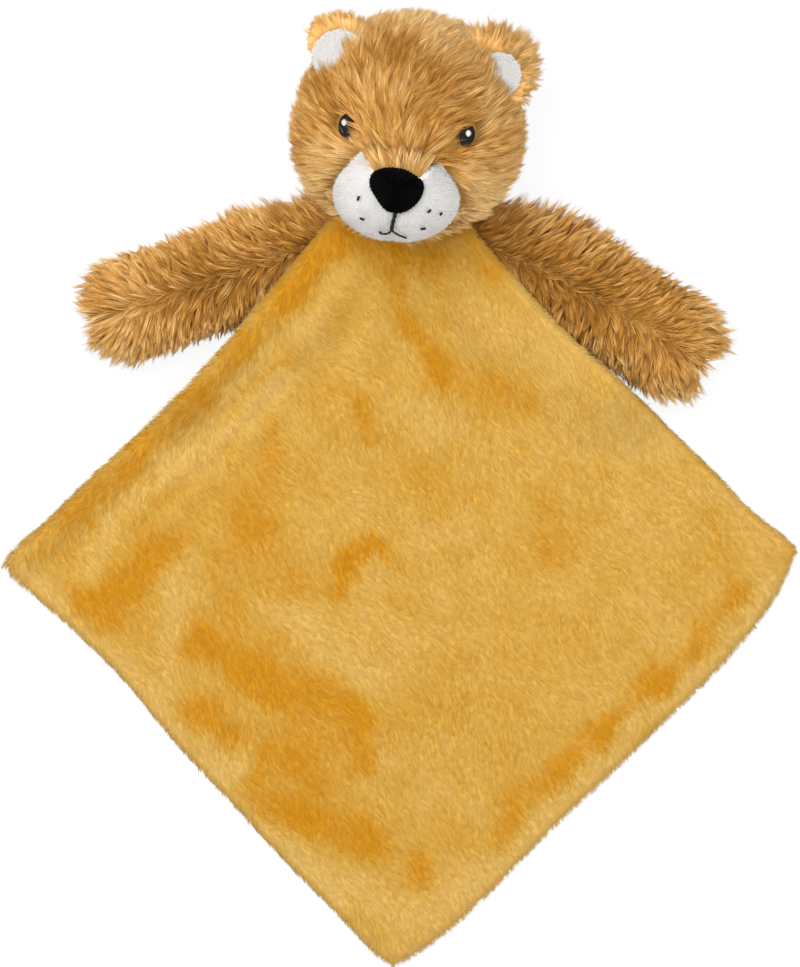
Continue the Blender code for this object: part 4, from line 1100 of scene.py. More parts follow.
def chin_pile(name, tufts, each, length, width, material, seed):
    """Long pile on the upright cloth below and beside the white pads, where the snout leaves the head."""
    rng = np.random.default_rng(seed)
    pairs = even_pairs(tufts, seed)
    turns, shares = math.radians(226) * (pairs[:, 0] - 0.5) - math.pi / 2, pairs[:, 1]
    tuft_of = np.repeat(np.arange(tufts), each)

    def spots(turn, share):
        outward = np.stack((np.cos(turn), np.sin(turn)), -1)
        wall = MUZZLE_MIDDLE[:2] + outward * SNOUT_CLOTH_RADII[:2]
        wider = 1 + 0.03 * np.sin(math.pi * np.clip(-wall[:, 1] / 56.0, 0, 1))
        past = np.hypot(wall[:, 0] / HEAD_CLOTH_RADII[0] / wider, wall[:, 1] / HEAD_CLOTH_RADII[1])
        wall = wall / np.maximum(past, 1)[:, None] + 0.8 * outward
        low = dome_height(wall[:, 0], wall[:, 1], HEAD_CLOTH_RADII) - 3.0
        z = low + (np.maximum(low + 7.5, 15.0) - low) * share
        pad = np.sqrt(np.maximum(1 - ((z - MUZZLE_MIDDLE[2]) / PAD_CLOTH_RADII[2]) ** 2, 0))
        under = MUZZLE_MIDDLE[:2] + outward * PAD_CLOTH_RADII[:2] * pad[:, None]
        flat = wall + (under - wall) * smooth(z, 6, 12)[:, None]
        normal = unit(np.concatenate((outward / MUZZLE_RADII[:2], np.zeros((len(turn), 1))), -1))
        flow = unit(np.concatenate((0.35 * outward, -np.ones((len(turn), 1))), -1))
        return np.concatenate((flat, z[:, None]), -1), normal, tangent(flow, normal)

    count = len(tuft_of)
    turn = turns[tuft_of] + rng.normal(0, 0.03, count)
    share = np.clip(shares[tuft_of] + rng.normal(0, 0.04, count), 0, 1)
    shades = 0.56 + rng.normal(0, 0.12, tufts)[tuft_of] + rng.normal(0, 0.14, count)
    own, middles = all_to_world(*spots(turn, share)), all_to_world(*spots(turns, shares))
    lengths = np.full(count, length)
    return grow(name, own, middles, tuft_of, lengths, width, 0.42, 0.25, 0.75, shades, material, seed, soft=0.25)


def snout_spot(directions):
    """Places and normals on the white pads' cloth, with the groove below the nose."""
    place = MUZZLE_MIDDLE + directions * PAD_CLOTH_RADII
    groove = np.exp(-(((place[..., 0] - MUZZLE_MIDDLE[0]) / 3.0) ** 2)) * smooth(-place[..., 1], 42, 50)
    normal = unit(directions / PAD_CLOTH_RADII)
    return place - normal * (0.9 * groove)[..., None], normal


def short_pile(name, spots, length, width, shades, material, seed):
    """Short pile at spots in the head's axes, where every five neighbours make one tuft."""
    groups = len(shades) // 5
    spots = tuple(values[: groups * 5] for values in all_to_world(*spots))
    centres, normals, flows = (values.reshape(groups, 5, 3).mean(1) for values in spots)
    tufts, tuft_of = (centres, unit(normals), unit(flows)), np.repeat(np.arange(groups), 5)
    lengths, shades = np.full(len(tuft_of), length), shades[: groups * 5]
    return grow(name, spots, tufts, tuft_of, lengths, width, 0.9, 0.2, 0.5, shades, material, seed, 3)


NOSE_MIDDLE = (-2.6, -33.4)
NOSE_POINTS = (
    (-13.7, 7.2), (-9.2, 10.0), (-3.2, 11.1), (4.3, 10.4), (10.0, 7.5), (13.6, 4.9), (14.6, 0.6),
    (12.7, -5.3), (8.4, -10.2), (3.5, -12.8), (-1.2, -12.9), (-5.8, -11.4), (-11.0, -5.4), (-14.8, 1.1),
)


def muzzle_height(x, y, radii=MUZZLE_RADII):
    return dome_height(x, y, radii, MUZZLE_MIDDLE)


def nose_spot(share, turn_index, outline):
    """Places on the padded nose, from its middle at share 0 to its rim at share 1."""
    edge = outline[turn_index]
    x = NOSE_MIDDLE[0] + edge[..., 0] * share
    y = NOSE_MIDDLE[1] + edge[..., 1] * share
    z = muzzle_height(x, y) + 0.3 + 5.2 * np.sqrt(np.clip(1 - share**2.6, 0, 1))
    return np.stack((x, y, z), -1)


# Threads


def thread(points, radius):
    """Rings round a line of points, narrowed at both ends, in the head's axes."""
    points = np.asarray(points, float)
    along = unit(np.gradient(points, axis=0))
    side = unit(np.cross(along, np.array((0.0, 0.0, 1.0))))
    over = np.cross(side, along)
    ends = np.sin(math.pi * np.clip(np.linspace(0.12, 0.88, len(points)), 0, 1)) ** 0.5
    cos, sin = np.cos(turns_round(6))[:, None], np.sin(turns_round(6))[:, None]
    spokes = radius * ends[:, None, None] * (cos * side[:, None] + sin * over[:, None])
    return points[:, None] + spokes


def joined_threads(name, all_rings, material):
    """One piece of many short stitches."""
    points, faces = [], []
    for rings in all_rings:
        rows, columns = rings.shape[:2]
        start = len(points)
        points.extend(to_world(rings.reshape(-1, 3)))
        faces.extend(tuple(start + i for i in face) for face in grid_faces(rows, columns, wrap=True))
        faces.append(tuple(start + j for j in range(columns - 1, -1, -1)))
        faces.append(tuple(start + (rows - 1) * columns + j for j in range(columns)))
    return plain_mesh(name, points, faces, material)


def settle(piece, body, slot, *nodes):
    """The piece rides on its body and stands for the solids named, which it hides. The slot is not used."""
    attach(piece, body)
    if nodes:
        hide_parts(*nodes)


# Sizes and colours that a user would change


def colour_of(name, description, value):
    return FloatVectorProperty(
        name=name, description=description, subtype="COLOR", size=3, min=0, max=1, default=value
    )


def length_of(name, description, value):
    return FloatProperty(
        name=name, description=description, default=value * MM, min=0, unit="LENGTH", subtype="DISTANCE"
    )


class COMFORTER_PG_blanket(PropertyGroup):
    """The mustard blanket."""

    deep: colour_of("Deep mustard", "Nap brushed away from the light", (0.52, 0.225, 0.007))
    middle: colour_of("Mustard", "Most of the blanket", (0.555, 0.315, 0.052))
    pale: colour_of("Pale mustard", "Nap brushed towards the light", (0.62, 0.39, 0.105))
    pile: length_of("Pile length", "Length of the short pile", 3.0)
    strand: length_of("Strand width", "Width of one strand", 0.36)


class COMFORTER_PG_fur(PropertyGroup):
    """The long tan pile of the head, ears and arms."""

    deep: colour_of("Deep tan", "The darkest tufts", (0.43, 0.18, 0.020))
    middle: colour_of("Tan", "Most of the pile", (0.76, 0.405, 0.096))
    pale: colour_of("Pale tan", "The lightest tufts", (0.97, 0.69, 0.31))
    root: colour_of("Root shade", "How dark the pile is at its roots", (0.44, 0.34, 0.23))
    head_pile: length_of("Head pile", "Length of the pile on the head", 17.0)
    arm_pile: length_of("Arm pile", "Length of the pile on the arms", 14.0)
    strand: length_of("Strand width", "Width of one strand", 0.5)


class COMFORTER_PG_face(PropertyGroup):
    """The muzzle, nose, eyes and thread."""

    white: colour_of("White", "The muzzle's and the ears' short pile", (0.84, 0.83, 0.81))
    black: colour_of("Black", "The nose", (0.0012, 0.0012, 0.0018))
    dark_thread: colour_of("Dark thread", "The eyes and the mouth", (0.008, 0.006, 0.006))
    pile: length_of("Muzzle pile", "Length of the muzzle's short pile", 2.4)


class COMFORTER_PG_stage(PropertyGroup):
    """The floor, the lamps and the camera."""

    floor: colour_of("Floor", "The floor's colour", (0.9, 0.9, 0.9))
    sky: FloatProperty(name="Sky", description="Strength of the even light", default=0.92, min=0)
    lamp: FloatProperty(name="Lamp", description="Power of the soft lamp", default=22.0, min=0, unit="POWER")
    distance: length_of("Camera distance", "Height of the camera over the blanket", 15000.0)


# Operators


class COMFORTER_OT_blanket(Operator):
    """Lays the blanket's two panels with their short pile"""

    bl_idname = "comforter.blanket"
    bl_label = "Blanket"

    def execute(self, context):
        sizes = context.scene.comforter_blanket
        cloth = finish_of(nap_finish, "mustard_cloth", nap_stops(sizes))
        pile = finish_of(pile_finish, "mustard_pile", nap_stops(sizes), (0.93, 0.9, 0.82))
        length, width = sizes.pile / MM, sizes.strand / MM
        back = blanket_cloth("blanket_back_cloth", False, cloth)
        settle(back, "blanket", "mustard_plush", "blanket_back_panel")
        front = blanket_cloth("blanket_front_cloth", True, cloth)
        settle(front, "blanket", "mustard_plush", "blanket_front_panel")
        quarters = ((0, 0.5, 0, 0.5), (0.5, 1, 0, 0.5), (0, 0.5, 0.5, 1), (0.5, 1, 0.5, 1))
        halves = ((0.01, 0.5, 0.01, 0.99), (0.5, 0.99, 0.01, 0.99))
        for panel, parts, tufts, look, seed in (
            ("front", quarters, 7000, (length, width, 0.22), 101),
            ("back", halves, 4200, (3.6, 0.8, 0.14), 111),
        ):
            for number, part in enumerate(parts):
                name = f"blanket_{panel}_pile_{number + 1}"
                piece = blanket_pile(name, part, panel == "front", tufts, 4, *look, pile, seed + number)
                settle(piece, "blanket", "mustard_plush")
        return {"FINISHED"}


class COMFORTER_OT_neck(Operator):
    """Makes the gathered neck"""

    bl_idname = "comforter.neck"
    bl_label = "Neck"

    def execute(self, context):
        sizes = context.scene.comforter_fur
        rings, turn = [], turns_round(20)
        for share in np.linspace(0.04, 0.96, 9):
            flat = 8.0 * math.sin(math.pi * share) ** 0.8 * (1 + 0.06 * np.cos(7 * turn))
            y = np.full(20, NECK[1] - 4 + 17 * share)
            rings.append(np.stack((NECK[0] + flat * np.cos(turn), y, NECK[2] + flat * np.sin(turn)), -1))
        cloth = rounded(ring_body("neck_cloth", rings, tan_backing(sizes)))
        settle(cloth, "neck", "tan_long_plush", "neck_stub")
        tufts, each = 280, 10
        count = tufts * each
        rng = np.random.default_rng(150)
        pairs = even_pairs(tufts, 150)
        tuft_of = np.repeat(np.arange(tufts), each)
        turns, along = math.tau * pairs[:, 0], NECK[1] + 1 + 9 * pairs[:, 1]

        def spots(turn, y):
            outward = np.stack((np.cos(turn), np.zeros(len(turn)), np.sin(turn)), -1)
            middle = np.stack((np.full(len(y), NECK[0]), y, np.full(len(y), NECK[2])), -1)
            return middle + 7.4 * outward, outward, np.tile((0.0, -1.0, 0.0), (len(y), 1))

        own = spots(turns[tuft_of] + rng.normal(0, 0.12, count), along[tuft_of] + rng.normal(0, 0.5, count))
        shades = 0.4 + rng.normal(0, 0.12, tufts)[tuft_of] + rng.normal(0, 0.12, count)
        pile = grow(
            "neck_pile", own, spots(turns, along), tuft_of, np.full(count, 6.5), sizes.strand / MM, 0.35, 0.25, 0.75,
            shades, long_pile(sizes), 151, soft=0.25,
        )
        settle(pile, "neck", "tan_long_plush")
        return {"FINISHED"}


class COMFORTER_OT_head(Operator):
    """Makes the head's covers, stuffing and long pile"""

    bl_idname = "comforter.head"
    bl_label = "Head"

    def execute(self, context):
        sizes = context.scene.comforter_fur
        length, width = sizes.head_pile / MM, sizes.strand / MM
        rows, sides = 54, 120
        for name, low, high in (("face", 0.02, 0.53), ("back", 0.53, 0.98)):
            place, _ = head_spot(head_rings(low, high, rows, sides).reshape(-1, 3))
            faces = [face[::-1] for face in grid_faces(rows, sides, wrap=True)]
            last = (rows - 1) * sides
            cap = tuple(range(sides)) if name == "face" else tuple(range(last + sides - 1, last - 1, -1))
            cloth = plain_mesh(f"head_{name}_cloth", to_world(place), faces + [cap], tan_backing(sizes))
            with_thickness(cloth, 1.0)
            settle(cloth, "head", "tan_long_plush", f"head_{name}_cover")
        parts = {
            "head_forehead_pile_left": lambda d: (d[:, 2] > 0.05) & (d[:, 0] < 0.0) & (d[:, 1] > 0.1),
            "head_forehead_pile_right": lambda d: (d[:, 2] > 0.05) & (d[:, 0] >= 0.0) & (d[:, 1] > 0.1),
            "head_cheek_pile_left": lambda d: (d[:, 2] > 0.05) & (d[:, 0] < 0.0) & (d[:, 1] <= 0.1),
            "head_cheek_pile_right": lambda d: (d[:, 2] > 0.05) & (d[:, 0] >= 0.0) & (d[:, 1] <= 0.1),
            "head_side_pile": lambda d: (d[:, 2] <= 0.05) & (d[:, 2] > -0.42),
        }
        for number, (name, wanted) in enumerate(parts.items()):
            tufts, each = (4000, 20) if "side" in name else (6000, 22)
            piece = head_pile(name, wanted, tufts, each, length, width, 0.85, long_pile(sizes), 200 + 7 * number)
            settle(piece, "head", "tan_long_plush")
        chin = chin_pile("head_chin_pile", 1200, 9, 8.0, width, long_pile(sizes), 235)
        settle(chin, "head", "tan_long_plush")
        lower = head_pile(
            "head_back_pile", lambda d: d[:, 2] <= -0.42, 3600, 10, length, width * 1.3, 0.4, long_pile(sizes), 240
        )
        settle(lower, "head", "tan_long_plush")
        place, _ = head_spot(head_rings(0.03, 0.97, 96, sides))
        stuffing = ring_body("head_stuffing_fill", to_world(place * 0.94), fibre_fill())
        settle(stuffing, "head", "fibre_stuffing", "head_stuffing")
        return {"FINISHED"}


class COMFORTER_OT_muzzle(Operator):
    """Makes the two white pads, the tan bridge and their pile"""

    bl_idname = "comforter.muzzle"
    bl_label = "Muzzle"

    def execute(self, context):
        fur, face = context.scene.comforter_fur, context.scene.comforter_face
        rng = np.random.default_rng(300)
        for name, side in (("left", -1), ("right", 1)):
            start = -side * math.pi / 2
            turn = np.linspace(start, start + math.pi, 20)
            place, _ = snout_spot(directions_of(np.linspace(0.02, 2.2, 18), turn))
            points = to_world(place.reshape(-1, 3) + (side * 0.1, 0, 0))
            faces = [corners[::-1] for corners in grid_faces(18, 20)]
            pad = plain_mesh(f"muzzle_{name}_cloth", points, faces, white_backing(face))
            with_thickness(pad, 0.9)
            settle(pad, "head", "white_short_plush", f"muzzle_{name}_panel")
        directions = even_directions(26000, 301)
        place, normal = snout_spot(directions)
        outside = place[:, 2] > dome_height(place[:, 0], place[:, 1], HEAD_CLOTH_RADII) - 1.0
        outside |= ((place[:, :2] / HEAD_CLOTH_RADII[:2]) ** 2).sum(-1) > 1
        level = np.clip(place, None, (100, -12.5, 100))
        good = outside & (directions[:, 2] > -0.6) & (on_white(level) | (place[:, 1] < -33))
        good &= ~in_bridge(place[:, 0], place[:, 1])
        x, y = (even_pairs(9000, 304) * (60, 14) - (33, 27)).T
        tips = np.stack((x, y, dome_height(x, y, HEAD_CLOTH_RADII)), -1)
        tips = tips[on_white(tips) & (muzzle_height(x, y, PAD_CLOTH_RADII) < tips[:, 2])]
        place = np.concatenate((place[good], tips))
        normal = np.concatenate((normal[good], unit(tips / HEAD_CLOTH_RADII**2)))
        flow = np.stack((place[:, 0] - MUZZLE_MIDDLE[0], place[:, 1] + 30, np.zeros(len(place))), -1)
        flow = tangent(flow + rng.normal(0, 6, flow.shape), normal)
        place, normal, flow = by_neighbours(1.6, place, normal, flow)
        shades = 0.55 + 0.5 * (cloudy(place[:, 0], place[:, 1], 6, 302) - 0.5) + rng.normal(0, 0.12, len(place))
        for name, side in (("left", -1), ("right", 1)):
            mine = (place[:, 0] - MUZZLE_MIDDLE[0]) * side > 0
            spots = (place[mine], normal[mine], flow[mine])
            piece = short_pile(
                f"muzzle_{name}_pile", spots, face.pile / MM, 0.42, shades[mine], white_pile(face), 303 + side
            )
            settle(piece, "head", "white_short_plush")
        up, across = np.meshgrid(np.linspace(0, 1, 9), np.linspace(0, 1, 14), indexing="ij")
        x = MUZZLE_MIDDLE[0] + (12.0 + 7.5 * up) * (2 * across - 1)
        y = -26.0 + 12.0 * up
        z = muzzle_height(x, y, PAD_CLOTH_RADII) + 0.4
        points = to_world(np.stack((x, y, z), -1).reshape(-1, 3))
        bridge = plain_mesh("nose_bridge_cloth", points, grid_faces(9, 14), tan_backing(fur))
        with_thickness(bridge, 0.4)
        settle(bridge, "head", "tan_long_plush", "nose_bridge_panel")
        return {"FINISHED"}


class COMFORTER_OT_nose(Operator):
    """Makes the padded black nose with its velour"""

    bl_idname = "comforter.nose"
    bl_label = "Nose"

    def execute(self, context):
        face = context.scene.comforter_face
        black = face.black
        cloth = finish_of(cloth_finish, "black_backing", scaled(black, 1.2), scaled(black, 0.6))
        stops = [(0.0, scaled(black, 0.7)), (0.6, opaque(black)), (1.0, scaled(black, 2.4))]
        velour = finish_of(pile_finish, "black_velour", stops, (0.5, 0.5, 0.5), 1.0, 0.0)
        sides = 48
        outline = round_curve(NOSE_POINTS, sides)
        rings = []
        for share in (0.02, 0.2, 0.4, 0.58, 0.73, 0.85, 0.93, 0.98, 1.0):
            rings.append(nose_spot(np.full(sides, share), np.arange(sides), outline))
        for share in (0.9, 0.5, 0.05):
            x, y = NOSE_MIDDLE[0] + outline[:, 0] * share, NOSE_MIDDLE[1] + outline[:, 1] * share
            rings.append(np.stack((x, y, muzzle_height(x, y) - 0.3), -1))
        rings = np.array(rings)
        pad = ring_body("nose_pad_cloth", to_world(rings.reshape(-1, 3)).reshape(rings.shape)[:, ::-1], cloth)
        settle(rounded(pad), "head", "black_short_plush", "nose_pad")
        count = 3600
        pairs = even_pairs(count, 310)
        share = np.sqrt(pairs[:, 0])
        index = (pairs[:, 1] * sides).astype(int) % sides
        place = nose_spot(share, index, outline)
        outer, inner = np.minimum(share + 0.02, 1), np.maximum(share - 0.02, 0)
        ahead = nose_spot(outer, index, outline) - nose_spot(inner, index, outline)
        beside = nose_spot(share, (index + 1) % sides, outline) - nose_spot(share, (index - 1) % sides, outline)
        normal = unit(np.cross(ahead, beside))
        normal = normal * np.sign(normal[:, 2:3] + 1e-9)
        rng = np.random.default_rng(311)
        flow = tangent(rng.normal(0, 1.0, place.shape), normal)
        shades = 0.4 + rng.normal(0, 0.2, count)
        spots = by_neighbours(1.2, place, normal, flow)
        piece = short_pile("nose_pad_pile", spots, 0.9, 0.34, shades, velour, 312)
        settle(piece, "head", "black_short_plush")
        return {"FINISHED"}


class COMFORTER_OT_eyes(Operator):
    """Stitches the two eyes with their glints"""

    bl_idname = "comforter.eyes"
    bl_label = "Eyes"

    def execute(self, context):
        face = context.scene.comforter_face
        dark = dark_thread(face)
        white = finish_of(thread_finish, "white_thread", face.white)
        rng = np.random.default_rng(320)
        for name, side, glint in (("left", -1, (-1.2, 1.2)), ("right", 1, (0.6, 1.2))):
            middle = np.array((side * EYE_ACROSS, EYE_UP))
            stitches = []
            for k in np.linspace(-1, 1, 30):
                half = EYE_HALF_WIDTH * math.sqrt(max(1 - (k * 0.97) ** 2, 0)) + 0.1
                y = middle[1] + EYE_HALF_HEIGHT * k
                t = np.linspace(-1, 1, 9)
                x = middle[0] + half * t + rng.normal(0, 0.12)
                swell = (1 - t**2) * math.sqrt(max(1 - k * k, 0.05))
                z = dome_height(x, np.full(9, y), HEAD_RADII) + 0.2 + swell
                stitches.append(thread(np.stack((x, y + 0.35 * t, z), -1), 0.29))
            eye = joined_threads(f"{name}_eye_stitches", stitches, dark)
            settle(eye, "head", "dark_brown_thread", f"{name}_eye_embroidery")
            stitches = []
            for k in np.linspace(-1, 1, 6):
                half = GLINT_HALF_SIZE * math.sqrt(max(1 - (k * 0.9) ** 2, 0)) + 0.1
                t = np.linspace(-1, 1, 5)
                x = middle[0] + glint[0] + half * t
                y = np.full(5, middle[1] + glint[1] + GLINT_HALF_SIZE * k)
                z = dome_height(x, y, HEAD_RADII) + 1.5 + 0.2 * (1 - t**2)
                stitches.append(thread(np.stack((x, y, z), -1), 0.27))
            spark = joined_threads(f"{name}_eye_glint_stitches", stitches, white)
            settle(spark, "head", "white_thread", f"{name}_eye_glint")
        return {"FINISHED"}


class COMFORTER_OT_mouth(Operator):
    """Stitches the mouth and the whisker marks"""

    bl_idname = "comforter.mouth"
    bl_label = "Mouth and whisker marks"

    def execute(self, context):
        dark = dark_thread(context.scene.comforter_face)

        def over(line, above):
            z = muzzle_height(line[:, 0], line[:, 1])
            point = np.stack((line[:, 0], line[:, 1], z), -1)
            normal = unit((point - MUZZLE_MIDDLE) / MUZZLE_RADII**2)
            return point + normal * above

        def stitched(points, radius, pitch):
            """A line of back stitches along the points."""
            points = np.asarray(points, float)
            steps = np.linalg.norm(np.diff(points, axis=0), axis=1)
            place = np.concatenate(([0], np.cumsum(steps)))
            count = max(int(round(place[-1] / pitch)), 1)
            stitches = []
            for i in range(count):
                t = np.linspace(i - 0.08, i + 1.08, 7) / count * place[-1]
                line = np.stack([np.interp(t, place, points[:, axis]) for axis in (0, 1)], -1)
                hump = 0.35 * np.sin(math.pi * np.linspace(0, 1, 7))
                stitches.append(thread(over(line, 0.55) + np.array((0, 0, 1)) * hump[:, None], radius))
            return stitches

        left = [(-3.3, -55.0), (-4.6, -56.6), (-6.6, -57.3), (-8.6, -57.2), (-9.8, -56.2)]
        right = [(-3.3, -55.0), (-1.6, -56.2), (0.6, -57.2), (2.8, -57.9), (4.8, -58.3)]
        stitches = stitched([(-2.0, -45.8), (-2.9, -50.5), (-3.4, -55.2)], 1.1, 3.2)
        stitches += stitched(left, 0.62, 2.3) + stitched(right, 0.58, 2.4)
        mouth = joined_threads("mouth_stitches", stitches, dark)
        settle(mouth, "head", "dark_brown_thread", "mouth_embroidery")
        marks = {
            "left_1": ((-22.0, -40.2), 75, 2.6), "left_2": ((-19.2, -50.6), -20, 2.6),
            "right_1": ((15.4, -43.6), 50, 2.6), "right_2": ((21.6, -44.4), 60, 1.8),
            "right_3": ((13.0, -52.9), 15, 3.0),
        }
        for name, (middle, angle, length) in marks.items():
            way = np.array((math.cos(math.radians(angle)), math.sin(math.radians(angle))))
            stitches = []
            for shift in (-0.3, 0.3):
                across = np.array((-way[1], way[0])) * shift
                line = [np.array(middle) + across + way * length * t for t in np.linspace(-0.5, 0.5, 5)]
                stitches += stitched(line, 0.34, length)
            mark = joined_threads(f"whisker_stitch_{name}_thread", stitches, dark)
            settle(mark, "head", "dark_brown_thread", f"whisker_stitch_{name}")
        return {"FINISHED"}


class COMFORTER_OT_ears(Operator):
    """Makes the two ears with white linings and tan fringes"""

    bl_idname = "comforter.ears"
    bl_label = "Ears"

    def execute(self, context):
        fur, face = context.scene.comforter_fur, context.scene.comforter_face
        for number, side in enumerate(EARS):
            self.make_ear(fur, face, side, 400 + 20 * number)
        return {"FINISHED"}

    def rings(self, side, levels, size=(1.0, 1.0), shift=(0.0, 0.0)):
        """Rings of the ear's outline at the levels, each a share of the rim and a height."""
        turn, rings = turns_round(40), []
        for share, above in levels:
            across, out = EAR_HALF_WIDTH * share * np.cos(turn), EAR_BASE + share * ear_rise(turn)
            rings.append(ear_place(side, across * size[0] + shift[0], out * size[1] + shift[1], above))
        return to_world(np.array(rings))

    def make_ear(self, fur, face, side, seed):
        body = f"{side}_ear"
        rng = np.random.default_rng(seed)
        light = finish_of(cloth_finish, "tan_ear_backing", scaled(fur.middle, 0.75), scaled(fur.middle, 0.5))
        back = ring_body(f"{side}_ear_back_cloth", self.rings(side, EAR_BACK_RINGS), light)
        settle(rounded(back), body, "tan_long_plush", f"{side}_ear_back")
        (wide, tall), shift = EARS[side]["lining"], EARS[side]["shift"]
        rings = self.rings(side, EAR_LINING_RINGS, (wide, tall), shift)
        lining = ring_body(f"{side}_ear_lining_cloth", rings, white_backing(face))
        settle(rounded(lining), body, "white_short_plush", f"{side}_ear_lining")
        pairs = even_pairs(3600, seed + 1)
        turn, share = pairs[:, 0] * math.tau, np.sqrt(pairs[:, 1])
        across = shift[0] + wide * EAR_HALF_WIDTH * share * np.cos(turn)
        place = ear_place(side, across, shift[1] + tall * (EAR_BASE + share * ear_rise(turn)), 1.2)
        away, _ = ear_axes(side)
        normal = unit(np.tile((*(-0.2 * away), 1.0), (len(place), 1)))
        flow = tangent(np.tile((*away, 0.0), (len(place), 1)) + rng.normal(0, 0.5, place.shape), normal)
        shades = 0.55 + rng.normal(0, 0.14, len(place))
        spots = by_neighbours(1.5, place, normal, flow)
        piece = short_pile(f"{side}_ear_lining_pile", spots, 2.2, 0.42, shades, white_pile(face), seed + 2)
        settle(piece, body, "white_short_plush")
        self.fringe(fur, side, body, seed + 3)

    def on_lining(self, side, turn, share):
        """Whether a place on the ear's front lies on its white lining."""
        (wide, tall), shift = EARS[side]["lining"], EARS[side]["shift"]
        across = (EAR_HALF_WIDTH * share * np.cos(turn) - shift[0]) / (wide * EAR_HALF_WIDTH)
        out = (EAR_BASE + share * ear_rise(turn) - shift[1]) / tall - EAR_BASE
        return np.hypot(across, out / np.where(out > 0, EAR_HEIGHT - EAR_BASE, EAR_BASE)) < 0.97

    def fringe(self, fur, side, body, seed):
        """Long pile that stands out past the ear's rim and covers its back."""
        rng = np.random.default_rng(seed)
        tufts, each = 960, 18
        pairs = even_pairs(tufts, seed)
        front0 = pairs[:, 1] < 0.65
        turn0 = np.where(front0, -0.15 + (math.pi + 0.3) * pairs[:, 0], math.tau * pairs[:, 0])
        share0 = np.where(front0, 1 - 0.75 * pairs[:, 1] ** 1.3, 1 - 2.5 * (pairs[:, 1] - 0.65))
        short = np.interp(np.cos(turn0), (-1, 0, 1), EARS[side]["fringe"]) < 4.5
        share0 = np.where(~front0 & short, 0.78 * share0, share0)
        tuft_of = np.repeat(np.arange(tufts), each)
        count = len(tuft_of)
        turn = turn0[tuft_of] + rng.normal(0, 0.05, count)
        share = np.clip(share0[tuft_of] + rng.normal(0, 0.03, count), 0.1, 1.0)
        middle_white = front0 & self.on_lining(side, turn0, share0) & (share0 < 0.92)
        bare = ~(front0[tuft_of] & self.on_lining(side, turn, share) & (share < 0.9)) & ~middle_white[tuft_of]
        lengths = np.interp(np.cos(turn), (-1, 0, 1), EARS[side]["fringe"])
        lengths = np.where(front0[tuft_of], lengths, np.maximum(lengths, 4.5 + 2.5 * smooth(-share, -0.8, -0.5)))
        bare &= lengths > 2.2
        tuft_of, turn, share, lengths = (values[bare] for values in (tuft_of, turn, share, lengths))
        away, aside = ear_axes(side)

        def spots(turn, share, front):
            across = EAR_HALF_WIDTH * share * np.cos(turn)
            behind = np.interp(share, (0.4, 0.7, 0.96, 1.0), (-4.3, -3.5, -2.3, -1.4))
            place = ear_place(side, across, EAR_BASE + share * ear_rise(turn), np.where(front, -0.4, behind))
            way = away * np.maximum(0.45 + np.sin(turn), 0.25)[:, None] + aside * np.cos(turn)[:, None]
            flow = np.concatenate((way, np.zeros((len(turn), 1))), -1)
            normal = unit(np.concatenate((0.35 * way, np.where(front, 0.8, -0.8)[:, None]), -1))
            return all_to_world(place, normal, tangent(flow, normal))

        own, middles = spots(turn, share, front0[tuft_of]), spots(turn0, share0, front0)
        shades = 0.66 + rng.normal(0, 0.12, tufts)[tuft_of] + rng.normal(0, 0.13, len(tuft_of))
        pile = finish_of(pile_finish, "tan_ear_pile", nap_stops(fur), (0.84, 0.77, 0.68))
        name, width = f"{side}_ear_fringe", fur.strand / MM
        piece = grow(name, own, middles, tuft_of, lengths, width, 0.35, 0.2, 0.75, shades, pile, seed, soft=0.12)
        settle(piece, body, "tan_long_plush")


class COMFORTER_OT_arms(Operator):
    """Makes the two stuffed arms with their parted pile"""

    bl_idname = "comforter.arms"
    bl_label = "Arms"

    def execute(self, context):
        sizes = context.scene.comforter_fur
        fill = fibre_fill()
        for number, (name, arm) in enumerate(ARMS.items()):
            body = f"{name}_arm"
            for half, start, end in (("front", 0.0, math.pi), ("back", math.pi, math.tau)):
                points = arm_rings(arm, ARM_CLOTH_INSET, start, end, 30, 15).reshape(-1, 3)
                cloth = plain_mesh(f"{name}_arm_{half}_cloth", points, grid_faces(30, 15), tan_backing(sizes))
                with_thickness(cloth, 0.9)
                settle(cloth, body, "tan_long_plush", f"{name}_arm_{half}_panel")
                front = half == "front"
                tufts, each = (1500, 14) if front else (900, 12)
                piece = arm_pile(
                    f"{name}_arm_{half}_pile", name, front, tufts, each, sizes.arm_pile / MM, long_pile(sizes),
                    500 + 20 * number + 10 * front,
                )
                settle(piece, body, "tan_long_plush")
            rings = arm_rings(arm, ARM_FILL_INSET, 0.0, math.tau * 19 / 20, 24, 20)
            stuffing = ring_body(f"{name}_arm_stuffing_fill", rings, fill)
            settle(stuffing, body, "fibre_stuffing", f"{name}_arm_stuffing")
        return {"FINISHED"}


